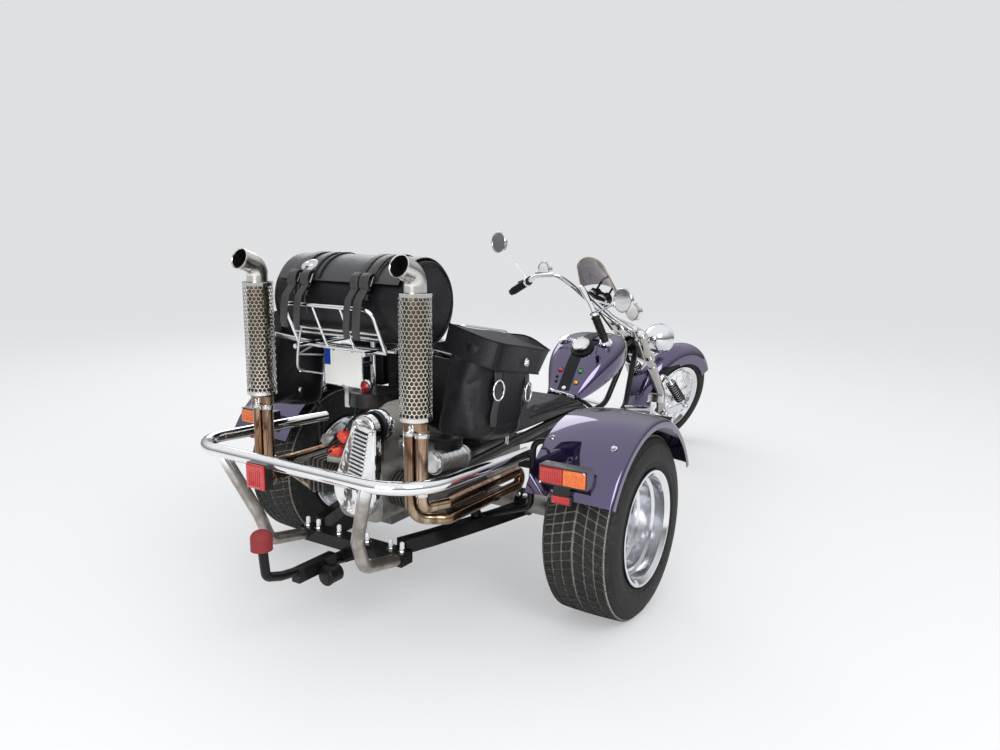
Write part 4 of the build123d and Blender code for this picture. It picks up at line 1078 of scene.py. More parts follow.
def saddlebag_body():
    """The bag's soft body, in its own frame, and the welt round its bottom."""
    body = bag_block("saddlebag_body", (4, 5, -341), (296, 172, -6), 44)
    with editing(body):
        shift_points(body, lambda p: p.x > 0.2 and p.z < -0.2, (-36, 0, 0))
    outer = (BAG_THICKNESS - 20) * MM
    for test, width, segments in (
        (lambda p, way: abs(way.z) > 0.9 and p.y > outer and p.x < 0.1, 62, 5),
        (lambda p, way: abs(way.z) > 0.9 and p.y > outer and p.x > 0.2, 42, 5),
        (lambda p, way: p.z < -0.335 and abs(way.x) > 0.5 and p.y > 0.1, 34, 4),
        (lambda p, way: p.z < -0.32 and p.x < 0.1 and abs(way.x) < 0.8, 13, 3),
        (lambda p, way: p.z < -0.32 and p.x > 0.2 and abs(way.x) < 0.8, 30, 3),
    ):
        round_edges(body, test, width, segments)
    with editing(body, whole=True):
        bpy.ops.mesh.vertices_smooth(factor=0.2, repeat=1)
    seam = piping(body, "body_seam", on_bottom_rim, 2.6)
    swell(body, 6, 8, lambda p: p.z > -0.05 or p.y < 0.012)
    dented(body, 7, (9, 14, 2.5), 3.1)
    modify(body, "SMOOTH", factor=0.5, iterations=3)
    return body, seam


def on_bottom_rim(edge):
    """Whether an edge of the bag's body runs round its bottom, where the wall's curve ends."""
    first, second = (vertex.co for vertex in edge.verts)
    level = abs(edge_way(edge).z) < 0.5
    at_height = max(first.z, second.z) < -0.30 and min(first.z, second.z) > -0.312
    return level and at_height and min(first.y, second.y) > 0.02


def saddlebag_lid():
    """The stiff lid with its skirt, open towards the machine, and its two welts."""
    lid = bag_block("saddlebag_lid", (-5, -2, -80), (300, BAG_THICKNESS + 6, 2), 45)
    with editing(lid):
        shift_points(lid, lambda p: p.z < -0.07 and p.y > 0.1, (0, 0, -45))
        shift_points(lid, lambda p: p.z > -0.06 and p.x > 0.2, (64, 0, 0))
        shift_points(lid, lambda p: p.z > -0.06 and p.x < 0.1, (22, 0, 0))
    outer = BAG_THICKNESS * MM
    round_edges(lid, lambda p, way: abs(way.z) > 0.6 and p.y > outer and p.x < 0.1, 60, 7)
    round_edges(lid, lambda p, way: abs(way.z) > 0.6 and p.y > outer and p.x > 0.2, 12, 3)
    with editing(lid):
        pick(lid, lambda face: face.normal.z < -0.9 or face.normal.y < -0.9)
        bpy.ops.mesh.delete(type="FACE")
        bpy.ops.mesh.select_all(action="SELECT")
        bpy.ops.mesh.subdivide(number_cuts=6)
    nudge(lid, (318, 90, -16), 110, (0, 0, 24))
    nudge(lid, (150, 70, -10), 130, (0, 0, -13))
    nudge(lid, (205, 184, -90), 90, (0, -7, 0))
    dented(lid, 7, (7, 7, 7), 8.4)
    with editing(lid):
        turn_outwards()

    def creased(edge):
        return len(edge.link_faces) == 2 and edge.calc_face_angle() > 0.9

    def free(edge):
        return edge.is_boundary and edge.verts[0].co.y + edge.verts[1].co.y > 0.004

    welts = [piping(lid, "lid_seam", creased, 3), piping(lid, "lid_rim", free, 3)]
    modify(lid, "SOLIDIFY", thickness=4.5 * MM, offset=-1)
    return join("saddlebag_lid", lid, *welts)


def saddlebag_straps():
    """Two straps that hang from under the lid through tall rings, with rounded tails."""
    upper = [(-8, 0, -92), (-5, 0, -112), (3, 0, -132), (9, 0, -176)]
    tail = [(12, 0, -166), (15, 0, -202), (10, -2, -232), (8, -4, -262), (11, -5, -286)]
    tail.append((14, -5, -298))
    straps = []
    rings = []
    for x, y, turn in ((52, 174, 0.3), (222, 178, -0.05)):
        along = Vector((cos(turn), sin(turn), 0))
        away = Vector((-along.y, along.x, 0))
        base = Vector((x, y, 0))
        above, below = (
            [(base + away * a + along * b + UPWARDS * z) * MM for a, b, z in run]
            for run in (upper, tail)
        )
        straps.append(strap("strap", above, along * 28 * MM, 3.6))
        end = strap("tail", below, along * 25 * MM, 3.4)
        with editing(end):
            pick(end, lambda v: v.co.z < -0.2965, "verts")
            bpy.ops.transform.resize(value=(0.6, 1, 1), center_override=below[-1])
        straps.append(end)
        middle = (base + away * 15 + UPWARDS * -186) * MM
        angles = [index * tau / 24 for index in range(25)]
        ring = [middle + (along * 21 * cos(a) + UPWARDS * 31 * sin(a)) * MM for a in angles]
        rings.append(wire("ring", ring, 3, smooth=False))
    return join("saddlebag_straps", *straps), join("saddlebag_rings", *rings)


def saddlebags():
    """Both leather saddlebags: body, lid, straps, rings and the lid's turn stud."""
    body, seam = saddlebag_body()
    lid = saddlebag_lid()
    straps, rings = saddlebag_straps()
    stud_base = Vector((206, 181, -92)) * MM
    knob = [(9.5, 3.2), (8, 3.2), (6.5, 7), (3.5, 8.6), (0, 9)]
    profile = [(0, 0), (14, 0), (14.5, 3), (12, 5), *knob]
    stud = turned("saddlebag_stud", profile, stud_base, stud_base + Vector((0, 1, 0)), 24)
    modelled = [
        # piece, finish, slot
        (body, "leather", "black_leather"),
        (lid, "leather", "black_leather"),
        (seam, "leather", "black_leather"),
        (straps, "strap_leather", "black_leather"),
        (rings, "chrome", "chrome"),
        (stud, "chrome", "chrome"),
    ]
    for side, name in SIDES:
        for piece, finish, slot in modelled:
            own = copy_to(piece, f"{piece.name}_{name}", bag_frame(side))
            done(own, finish, sharp=50)
            if piece is body:
                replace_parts(own, f"saddlebag_{name}")
    for piece, *_ in modelled:
        bpy.data.objects.remove(piece)


def roll_place(y, angle, out=0.0):
    """A place on the roll bag: its y, the angle from the top towards the rear, and how proud."""
    reach = ROLL_RADIUS + out
    turn = radians(angle)
    return at(ROLL_CENTER[0] - reach * sin(turn), y, ROLL_CENTER[1] + reach * cos(turn))


def leather_roll():
    """The roll's barrel: swollen between its seams, flat underneath, with end panels."""
    length = ROLL_ENDS[1] - ROLL_ENDS[0]
    middle = at(ROLL_CENTER[0], (ROLL_ENDS[0] + ROLL_ENDS[1]) / 2, ROLL_CENTER[1])
    bpy.ops.object.select_all(action="DESELECT")
    bpy.ops.mesh.primitive_cylinder_add(
        vertices=56,
        radius=(ROLL_RADIUS - 8) * MM,
        depth=(length - 14) * MM,
        location=middle,
        rotation=(pi / 2, 0, 0),
    )
    roll = fresh("roll_bag_body")
    floor = at(0, 0, ROLL_CENTER[1] - ROLL_RADIUS + 5).z
    with editing(roll):
        pick(roll, lambda face: abs(face.normal.y) > 0.9)
        bpy.ops.mesh.inset(thickness=12 * MM)
        bpy.ops.mesh.inset(thickness=40 * MM)
    for vertex in roll.data.vertices:
        vertex.co.z = max(vertex.co.z, floor)

    def at_rim(p, way):
        return Vector((p.x - middle.x, 0, p.z - middle.z)).length > 0.13 and abs(way.y) < 0.5

    def held(p):
        at_seam = any(abs(p.y - seam * MM) < 0.006 for seam in ROLL_SEAMS)
        at_end = any(0.004 < abs(p.y - end * MM) < 0.03 for end in ROLL_ENDS)
        return p.z < floor + 0.012 or at_seam or at_end

    round_edges(roll, at_rim, 9, 3)
    swell(roll, 7, 7, held)
    dented(roll, 6, (9, 5, 9), 1.7)
    modify(roll, "SMOOTH", factor=0.5, iterations=3)
    done(roll, "leather", sharp=60)
    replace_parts(roll, "roll_bag")
    welts = []
    for end in (ROLL_ENDS[0] + 9, ROLL_ENDS[1] - 9):
        circle = [roll_place(end, angle, -12) for angle in range(-180, 181, 8)]
        welts.append(wire("end_welt", circle, 4.5))
    for seam in ROLL_SEAMS:
        arch = [roll_place(seam, angle, 7) for angle in range(-66, 68, 9)]
        welts.append(wire("cross_welt", arch, 4))
    done(join("roll_bag_welts", *welts), "leather")


def roll_flap():
    """The flap over the roll's top, its rear edge just above the middle."""
    arch = [roll_place(0, angle, 3) for angle in range(-70, 68, 6)]
    width = ROLL_ENDS[1] - ROLL_ENDS[0] - 46
    edge = [ROLL_ENDS[0] + 22 + width * index / 16 for index in range(17)]
    shift = arch[0] - at(0, 0, 0)
    flap = sheet("roll_bag_flap", [at(0, y, 0) for y in edge], steps(arch), shift)
    dented(flap, 3.5, (8, 8, 8), 5.5)
    rim = piping(flap, "flap_rim", lambda edge: edge.is_boundary, 2.2)
    modify(flap, "SOLIDIFY", thickness=4 * MM, offset=0)
    # the flap's finish carries a lighter tone as painted sheen
    done(join("roll_bag_flap", flap, rim), "flap_leather", sharp=50)


def roll_belts():
    """Four belts round the roll in two pairs, with buckles, keepers and pointed tails."""
    belts = []
    buckles = []
    fence_x = -727
    for y, width, tip in ((160, 34, 1052), (102, 30, 1046), (-113, 28, 1036), (-153, 34, 1034)):

        def over(*points):
            return [roll_place(y, angle, out) for angle, out in points]

        across = Vector((0, width * MM, 0))
        belts.append(strap("belt", over(*[(angle, 8) for angle in range(-120, 80, 8)]), across, 4))
        hang = [(6, 2, 1158), (0, 4, 1128), (-2, 7, tip + 22), (3, 9, tip)]
        hang = over((58, 13), (72, 17)) + [at(fence_x + x, y + aside, z) for x, aside, z in hang]
        tail = strap("belt_tail", hang, across * 0.94, 3.6)
        with editing(tail, "VERT"):
            pick(tail, lambda v: v.co.z < tip * MM + 0.001, "verts")
            bpy.ops.transform.resize(value=(1, 0.35, 1))
        belts.append(tail)
        middle, high, low = over((63, 15), (58, 15), (68, 15))
        up = (high - low).normalized()
        half = width / 2 + 5
        corners = [(-half, -15), (half, -15), (half, 15), (-half, 15), (-half, -15)]
        loop = [middle + (Vector((0, a, 0)) + up * b) * MM for a, b in corners]
        buckles.append(wire("buckle", loop, 3.6, smooth=False))
        fold = over((51, 9), (54, 22), (59, 29), (65, 28), (70, 20), (73, 11))
        belts.append(strap("belt_fold", fold, across * 1.1, 5))
        prong = [middle - up * 15 * MM, middle + up * 14 * MM]
        buckles.append(wire("prong", prong, 1.8, smooth=False))
        keeper = over((78, 9), (78, 20), (83, 20), (83, 9))
        belts.append(strap("keeper", keeper, across * 1.2, 3))
    done(join("roll_bag_belts", *belts), "strap_leather", sharp=45)
    done(join("roll_bag_buckles", *buckles), "dark_buckle")


def roll_concho():
    """The chrome oval on the flap with its two laces."""
    seat_of_it = roll_place(128, 42, 6)
    outwards = roll_place(128, 42, 40)
    profile = [(0, 0), (27, 0), (27, 2), (23, 5), (16, 5.6), (15, 4.4), (11, 4.4), (9, 7.5), (0, 9)]
    concho = turned("roll_bag_concho", profile, seat_of_it, outwards, 28)
    with editing(concho, whole=True):
        bpy.ops.transform.resize(value=(1, 1.35, 1), center_override=seat_of_it)
    done(concho, "dull_chrome")
    first = [(128, 46, 12), (118, 62, 15), (100, 78, 18), (92, 92, 20), (84, 104, 22)]
    second = [(134, 46, 12), (130, 64, 16), (126, 84, 24), (123, 100, 27), (122, 112, 29)]
    laces = [wire("lace", [roll_place(*point) for point in run], 2.4) for run in (first, second)]
    done(join("roll_bag_laces", *laces), "strap_leather")


def nudge(piece, center, reach, move):
    """Pull the points near a place by a soft amount, in the piece's own millimetres."""
    for vertex in piece.data.vertices:
        near = 1 - min(1, ((vertex.co / MM - Vector(center)).length / reach) ** 2)
        vertex.co += Vector(move) * near**2 * MM


def pad(name, place, size, pitch, most=9, channels=()):
    """A leather cushion, swollen between its seams, with channels sewn across it."""
    rest = Matrix.Translation(at(*place)) @ Matrix.Rotation(radians(pitch), 4, "Y")
    cushion = slab(name, [edge - 8 for edge in size], STILL, 12)
    half_length, half_width, half_depth = (edge / 2 * MM for edge in size)
    swell(cushion, 6, most, lambda p: abs(p.z) < 0.004 and abs(p.x) > half_length - 0.012)
    modify(cushion, "SMOOTH", factor=0.5, iterations=2)
    for vertex in cushion.data.vertices:
        for along in channels:
            groove = max(0, 1 - abs(vertex.co.x - along * MM) / (9 * MM))
            vertex.co.z -= 6 * MM * groove**2 * (vertex.co.z > 0)
    modify(cushion, "SUBSURF", levels=1, render_levels=1)
    set_in_place(cushion, rest)
    rim = [(-1, -0.94), (-0.94, -1), (0, -1), (0.94, -1), (1, -0.94), (1, 0)]
    rim += [(-a, -b) for a, b in rim] + rim[:1]
    seam = [rest @ Vector((a * half_length, b * half_width, -0.3 * half_depth)) for a, b in rim]
    done(cushion, "leather", sharp=60)
    done(wire(f"{name}_welt", seam, 2.6), "leather")


def seat_cushions():
    """The seat: a leather-covered base and four swollen cushions with sewn channels."""
    outline = [
        (-224, 652), (-234, 972), (-204, 974), (-168, 724), (245, 710), (312, 626),
        (425, 588), (775, 579), (876, 543), (868, 531), (-42, 531), (-90, 652),
    ]
    width = 308
    base = line("seat_base", [at(x, -width / 2, z) for x, z in [*outline, outline[0]]])
    with editing(base, "EDGE", True):
        bpy.ops.mesh.remove_doubles(threshold=0.1 * MM)
        bpy.ops.mesh.edge_face_add()
        bpy.ops.mesh.extrude_region_move(TRANSFORM_OT_translate={"value": (0, width * MM, 0)})
        close_shell()
        bpy.ops.mesh.bevel(offset=11 * MM, segments=3)
    done(base, "leather", sharp=40)
    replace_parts(base, "seat")
    pad("seat_backrest", (-182, 0, 862), (240, 322, 40), 81.5, 8, (-40, 40))
    pad("seat_passenger", (48, 0, 716), (392, 326, 48), 2.1, 9, (-95, 0, 95))
    pad("seat_lumbar", (284, 0, 662), (104, 318, 44), 47, 7)
    pad("seat_rider", (560, 0, 578), (440, 320, 48), 1.4, 9, (-110, 0, 110))


def lens(name, place, size, finish, rounding=5, ribs=0):
    """A moulded lens on the rear face of a lamp, ribbed inside its rim; size is y, z and depth."""
    wide, tall, deep = size
    rest = Matrix.Translation(at(*place)) @ Matrix.Rotation(-pi / 2, 4, "Y")
    glass = slab(name, (tall, wide, deep), STILL, min(rounding, deep * 0.45))
    with editing(glass):
        pick(glass, lambda face: face.normal.z > 0.95)
        bpy.ops.mesh.inset(thickness=rounding * MM)
        bpy.ops.transform.translate(value=(0, 0, -0.3 * deep * MM))
    bars = []
    for index in range(ribs):
        offset = ((index + 0.5) / ribs - 0.5) * (wide - 2 * rounding)
        place = Matrix.Translation((0, offset * MM, 0.24 * deep * MM))
        bars.append(slab("rib", (tall - 2.6 * rounding, 2.2, 2.4), place, 0.8, 1))
    piece = join(name, glass, *bars)
    set_in_place(piece, rest)
    done(piece, finish, sharp=40)


def box_lamps():
    """Lenses of the box lamps, reflectors and fog lamp, with their screws and fender studs."""
    screws = []
    for side, name in SIDES:
        lens(f"tail_lens_{name}", (-399, side * 663, 606), (82, 52, 9), "red_lens", 5, 9)
        lens(f"turn_lens_{name}", (-399, side * 746, 606), (80, 52, 9), "amber_lens", 5, 9)
        lens(f"reflector_{name}", (-407, side * 704, 533), (64, 25, 5), "red_lens", 2.5, 12)
        for y, z in ((626, 580), (782, 632)):
            screws.append(bolt("screw", at(-402, side * y, z), at(-410, side * y, z), 2.6, 3))
        stud = at(-250, side * 812, 683)
        screws.append(bolt("fender_stud", stud, stud + Vector((-0.53, side * -0.11, 0.84)), 8, 8))
        low = at(-238, side * 581, 683)
        screws.append(bolt("fender_bolt", low, low + Vector((-0.49, side * 0.17, 0.85)), 7, 7))
    done(join("rear_lamp_screws", *screws), "chrome")
    lens("fog_lens", (-929, 104, 604), (80, 80, 10), "red_lens", 9, 7)


def domed_nut(name, base, toward, radius, height, cap):
    """A washer and nut under a tall domed cap."""
    nut = bolt(name, base, toward, radius, height)
    dome = [(0.78, cap - 5), (0.6, cap - 1.5), (0.3, cap), (0, cap)]
    dome = [(0, 0.8 * height), *[(share * radius, z) for share, z in [(0.78, 0.8 * height), *dome]]]
    return nut, turned(f"{name}_cap", dome, base, toward, 18)


def frame_bolts():
    """White-capped bolts along the crossmember, axle clamp bolts and the bags' bolts."""
    nuts = []
    caps = []
    for y in (218, 167, 68, -63, -167, -215):
        base = at(-600, y, 315)
        nut, cap = domed_nut("crossmember_nut", base, base + UPWARDS, 10, 9, 32)
        nuts.append(nut)
        caps.append(cap)
    for side in (-1, 1):
        for x in (-34, 34):
            for y in (326, 356):
                base = at(x, side * y, AXLE_HEIGHT + sqrt(50**2 - 34**2) - 1)
                nuts.append(bolt("clamp_bolt", base, base + Vector((x / 40, 0, 1)), 7, 8))
        for z in (782, 772):
            base = at(-702, side * 340, z)
            nuts.append(bolt("pipe_clamp_bolt", base, at(-711, side * 340, z), 6, 9))
    for x, z in ((-480, 775), (-350, 757)):
        nuts.append(bolt("bag_bolt", at(x, 363, z), at(x, 355, z), 7, 6))
    done(join("frame_bolts", *nuts), "chrome")
    done(join("bolt_caps", *caps), "white_plastic")


def exhaust_clamps():
    """Band clamps round the header pipes below each shield."""
    bands = []
    band = [(19.2, 0), (22.5, 0), (23, 1.5), (23, 14.5), (22.5, 16), (19.2, 16), (19.2, 0)]
    for side in (-1, 1):
        for y in (STACK_Y - 23, STACK_Y + 23):
            for z in (748, 560):
                base = at(STACK_X, side * y, z)
                bands.append(turned("pipe_band", band, base, base + UPWARDS, 32))
            bands.append(slab("band_ear", (12, 5, 12), (STACK_X - 27, side * y, 756), 1.2))
    done(join("exhaust_clamps", *bands), "dull_chrome")


def exhaust_mouths():
    """Soot deep in both stacks' mouths and the rolled lips round them."""
    cup = [(0, -62), (32.6, -62), (32.6, -3), (31.8, -3), (31.8, -58), (0, -58)]
    roll = [(32.4, -4), (35.8, -5), (37.2, -2), (36.6, 0.8), (34, 1.4), (32.4, -0.5), (32.4, -4)]
    way = Vector((-74, 0, 28)).normalized()
    mouths = [at(-754, side * STACK_Y, 1272) for side in (-1, 1)]
    liners = [turned("liner", cup, mouth, mouth + way, 40) for mouth in mouths]
    lips = [turned("lip", roll, mouth, mouth + way, 40) for mouth in mouths]
    done(join("exhaust_soot", *liners), "soot")
    done(join("exhaust_lips", *lips), "pipe")


def belt_guard_louvres():
    """Raised lips over the belt guard's slots, a dark panel of painted shade behind them and its
    screws.
    """
    length = sqrt(46**2 + 219**2)
    across = Vector((0, -219 / length, -46 / length))
    along = Vector((0, -46 / length, 219 / length))
    turn = Matrix((across, along, Vector((-1, 0, 0)))).transposed().to_4x4()
    face = Matrix.Translation(at(-596, 0, 485)) @ turn
    behind = face @ Matrix.Translation(Vector((-3, 121, 0.6)) * MM)
    # painted shade: a dark slab under the lips stands for the shade in the slots
    done(slab("louvre_shadow", (58, 200, 2.4), behind, 1), "black_steel")
    lips = []
    for index in range(13):
        offset = Matrix.Translation(Vector((-3, 30 + index * 15, 2.5)) * MM)
        own = face @ offset @ Matrix.Rotation(radians(24), 4, "X")
        lips.append(slab("lip", (64, 8.5, 9), own, 3.6))
    for u, v in ((-72, 0), (72, 0), (0, -78), (-36, 224), (36, 224)):
        base = face @ Vector((u * MM, v * MM, 0))
        lips.append(bolt("guard_screw", base, base + Vector((-1, 0, 0)), 5, 4.5))
    done(join("belt_guard_louvres", *lips), "chrome")


def ridges(count, pitch, ridge):
    """A profile's points for one ridge, repeated along its height."""
    return [(radius, height + index * pitch) for index in range(count) for radius, height in ridge]


def alternator_dress():
    """Clamp strap, case and ribbed fan cowl of the alternator."""
    base = at(-528, -46, 704)
    forwards = base + Vector((1, 0, 0))
    strap_ring = [(56.2, 0), (59, 0), (59.5, 2), (59.5, 24), (59, 26), (56.2, 26), (56.2, 0)]
    pieces = [turned("alternator_strap", strap_ring, base, forwards, 64)]
    pieces.append(slab("strap_ear", (24, 12, 16), (-515, -104, 726), 2))
    pieces.append(bolt("strap_bolt", at(-515, -104, 733), at(-515, -104, 745), 6, 9))
    done(join("alternator_strap", *pieces), "chrome")
    case = [(57, 0), (58.5, 2), (58.5, 62), (61, 64), (61, 70), (57, 72), (57, 0)]
    ribs = ridges(6, 8, [(70.5, 3), (70.5, 7), (68.5, 8), (68.5, 10.5)])
    cowl = [(68, 0), *ribs, (66, 51), (50, 56), (0, 58), (0, 0), (68, 0)]
    case = turned("alternator_case", case, at(-500, -46, 704), forwards, 64)
    cowl = turned("alternator_cowl", cowl, at(-433, -46, 704), at(-432, -46, 704), 64)
    for piece in (case, cowl):
        done(piece, "cast_pale", sharp=30)


def distributor_and_pump():
    """Red distributor cap with its leads, the orange-red pump body and two plain tubes."""
    foot = at(-512, 84, 560)
    cap_base = at(-528, 118, 592)
    toward = at(-566, 146, 600)
    shaft = [(0, 0), (22, 0), (22, 20), (17, 26), (17, 60), (24, 66), (0, 66)]
    shaft = turned("distributor_shaft", shaft, foot, cap_base, 28)
    cap = [(0, 0), (23, 0), (24, 3), (24, 12), (21, 15), (20, 28), (16, 34), (8, 36)]
    cap += [(7, 44), (0, 45)]
    cap = turned("distributor_cap", cap, cap_base, toward, 32)
    place = standing(cap_base, toward)
    tower = [(0, 0), (5.5, 0), (5, 16), (4, 17), (0, 17)]
    towers = []
    starts = []
    for index in range(4):
        low, high = (place @ (around(14, index * tau / 4 + 0.5, z) * MM) for z in (26, 46))
        towers.append(turned("tower", tower, low, high, 14))
        starts.append(high)
    tilted = Matrix.Translation(at(-530, 96, 648)) @ Matrix.Rotation(0.5, 4, "X")
    pump = slab("pump_body", (44, 50, 40), tilted, 15, 5)
    flange = slab("pump_flange", (16, 66, 20), (-506, 90, 622), 4)
    red = join("distributor_cap_and_pump", cap, *towers, pump, flange)
    done(red, "red_plastic")
    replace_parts(red, "distributor")
    can = [(0, 0), (20, 0), (22, 3), (22, 44), (20, 47), (10, 49), (8, 56), (0, 56)]
    can = turned("filter_can", can, at(-530, 138, 634), at(-552, 190, 624), 28)
    tube = [(0, 0), (15, 0), (16, 2), (16, 54), (18, 55), (18, 60), (16, 61), (0, 61)]
    tube = turned("filler_tube", tube, at(-520, 108, 556), at(-548, 168, 566), 28)
    arm = [(0, 0), (9, 0), (9, 62), (0, 62)]
    arm = turned("pump_arm", arm, at(-512, 70, 590), at(-526, 84, 646), 16)
    done(join("pump_metalwork", shaft, can, tube, arm), "cast")
    leads = []
    boot = [(0, 0), (9, 0), (9, 14), (7, 16), (7, 28), (5, 34), (0, 34)]
    for index, (x, y) in enumerate([(-482, 196), (-344, 196), (-482, -196), (-344, -196)]):
        rise = at(-560 + 14 * index, 128 - 20 * index, 652 + 9 * index)
        over = at(x + 6, 0.6 * y, 640)
        if y < 0:
            over = at(-470 + 24 * index, 0.45 * y + 30, 640 + 12 * index)
        drop = at(x, 0.98 * y, 640 if y > 0 else 636)
        run = [starts[index], rise, over, drop, at(x, y, 586), at(x, y, 556)]
        leads.append(wire("lead", run, 3.6))
        leads.append(turned("boot", boot, at(x, y, 545), at(x, y, 600), 14))
    done(join("ignition_leads", *leads), "black_plastic")


def engine_bay_small_parts():
    """Ribbed air duct, electrics boxes, lines, throttle rod and dipstick."""
    base = at(-514, -272, 607)
    far = at(-318, -272, 590)
    ribs = ridges(6, 28, [(37.2, 10), (38.4, 18), (38.4, 30), (37.2, 37)])
    profile = [(0, -4), (22, -4), (33, 0), (37, 6), *ribs, (36.6, 184), (30, 190), (0, 190)]
    duct = turned("air_duct_sleeve", profile, base, far, 40)
    clip = [(38.6, 0), (40.4, 0), (40.4, 10), (38.6, 10), (38.6, 0)]
    ends = [at(-500, -272, 605.7), at(-345, -272, 592.3)]
    rings = [turned("duct_clip", clip, end, far, 40) for end in ends]
    done(join("air_duct_sleeve", duct, *rings), "duct", sharp=25)
    box = slab("relay_box", (84, 66, 36), (-400, -262, 648), 6)
    lid = slab("relay_lid", (90, 72, 10), (-400, -262, 668), 4)
    case = slab("electrics_box", (44, 162, 176), (-213, 252, 862), 8)
    case_lid = slab("electrics_lid", (50, 168, 30), (-213, 252, 952), 7)
    with editing(case):
        pick(case, lambda face: face.normal.x < -0.95)
        bpy.ops.mesh.inset(thickness=12 * MM)
        bpy.ops.transform.translate(value=(4 * MM, 0, 0))
    done(join("electrics_boxes", box, lid, case, case_lid), "black_plastic")
    oil = [(-300, 96, 560), (-330, 150, 585), (-420, 168, 574), (-520, 150, 520), (-545, 100, 470)]
    loom = [(-260, 240, 776), (-330, 200, 720), (-420, 150, 690), (-512, 60, 700), (-520, -20, 764)]
    lines = [
        hose("oil_line", oil, 6),
        hose("fuel_line", [(-536, 96, 668), (-520, 84, 700), (-440, 90, 728), (-380, 110, 700)], 4),
        hose("loom", loom, 6.5),
    ]
    done(join("engine_lines", *lines), "black_plastic")
    rod = hose("throttle_rod", [(-470, -120, 702), (-490, -140, 620), (-500, -146, 560)], 2.4)
    dipstick = [(-480, -104, 520), (-500, -150, 590), (-506, -160, 640), (-506, -148, 652)]
    dipstick = hose("dipstick", dipstick, 3)
    done(join("engine_rods", rod, dipstick), "dull_chrome")


def on_top(node, x, y):
    """The highest point of a CAD piece over a place, and the way its surface faces."""
    _, place, normal, _ = frame["nodes"][node].ray_cast(at(x, y, 2000), Vector((0, 0, -1)))
    return place, normal


def tank_strip():
    """The leather strip down the tank's spine with its welt, and the horn's cover."""
    across = [on_top("tank", 944, y) for y in (-30, -15, 0, 15, 30)]
    spine = [on_top("tank", x, 0)[0] for x in range(944, 1540, 12)]
    points = [place + normal * 2 * MM for place, normal in across]
    strip = line("tank_strip", points)
    with editing(strip, "EDGE", True):
        for step in steps(spine):
            bpy.ops.mesh.extrude_edges_move(TRANSFORM_OT_translate={"value": step})
    for vertex in strip.data.vertices:
        place, normal = on_top("tank", (vertex.co.x - axle_x) / MM, vertex.co.y / MM)
        vertex.co = place + normal * 1.5 * MM
    with editing(strip):
        turn_outwards()
    welt = piping(strip, "strip_welt", lambda edge: edge.is_boundary, 2)
    modify(strip, "SOLIDIFY", thickness=3.5 * MM, offset=0)
    done(slab("horn_cover", (64, 66, 44), facing_rider(-66, -30, 905), 8), "chrome")
    done(join("tank_strip", strip, welt), "leather", sharp=60)


def tank_lights():
    """Warning lights and switches on the tank, each in a black ring."""
    rings = []
    for x, y, finish, radius in (
        (1012, 53, "red_lens", 12),
        (1014, -58, "green_lens", 12),
        (974, -54, "yellow_lens", 12),
        (986, 59, "black_plastic", 5),
        (970, 55, "black_plastic", 5),
        (950, 0, "dial", 12),
    ):
        place, normal = on_top("tank", x, y)
        ring = [(0, -4), (3, -4), (3, 2), (1.5, 3), (0, 2), (0, -4)]
        ring = [(radius + wide, height) for wide, height in ring]
        dome = [(1, -4), (1, 2), (0.8, 5), (0.4, 7), (0, 7.5)]
        dome = [(0, -4), *[(share * radius, height) for share, height in dome]]
        name = f"tank_light_{len(rings)}"
        rings.append(turned("light_ring", ring, place, place + normal, 20))
        done(turned(name, dome, place, place + normal, 20), finish)
    done(join("tank_light_rings", *rings), "black_plastic")


def tank_brightwork():
    """Filler caps, the gauge on its pad and the tubes under the tank's tail."""
    parts = []
    cap = [(0, 0), (27, 0), (27, 32), (31, 34), (33.5, 37), (33.5, 43), (30, 47), (16, 50), (0, 51)]
    neck = [(36, 0), (36, 20), (29, 26), (27, 27), (27, 0), (36, 0)]
    for side in (-1, 1):
        base = at(1186, side * 108, 768)
        way = (at(1168, side * 124, 812) - at(1186, side * 108, 770)).normalized()
        parts.append(turned("filler_cap", cap, base, base + way, 36))
        parts.append(turned("cap_neck", neck, base, base + way, 36))
    middle = at(1104, -14, 788)
    face = middle + Vector((-0.60, 0, 0.80))
    body = [(0, -70), (34, -70), (38, -4), (44, 0), (45.5, 4), (45.5, 12), (43, 16), (39.5, 17)]
    body += [(38, 13), (38, 0), (0, 0)]
    parts.append(turned("gauge_body", body, middle, face, 48))
    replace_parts(done(join("tank_brightwork", *parts), "chrome"), "tank_fittings")
    dial = [(0, 8), (38.2, 8), (38.2, 11.5), (20, 12.4), (0, 12.6)]
    done(turned("gauge_dial", dial, middle, face, 48), "dial")
    cushion = [(0, -40), (54, -40), (60, -30), (62, -20), (60, -14), (50, -10), (0, -9)]
    done(turned("gauge_pad", cushion, middle, face, 48), "leather")
    trim = [(940, 66, 574), (922, 46, 572), (914, 0, 570), (924, -56, 560), (956, -96, 538)]
    done(hose("tail_trim", trim, 8), "chrome")
    tail = [(940, -82, 546), (985, -122, 512), (1030, -138, 470), (1060, -134, 440)]
    done(hose("tail_tube", tail, 10), "frame")


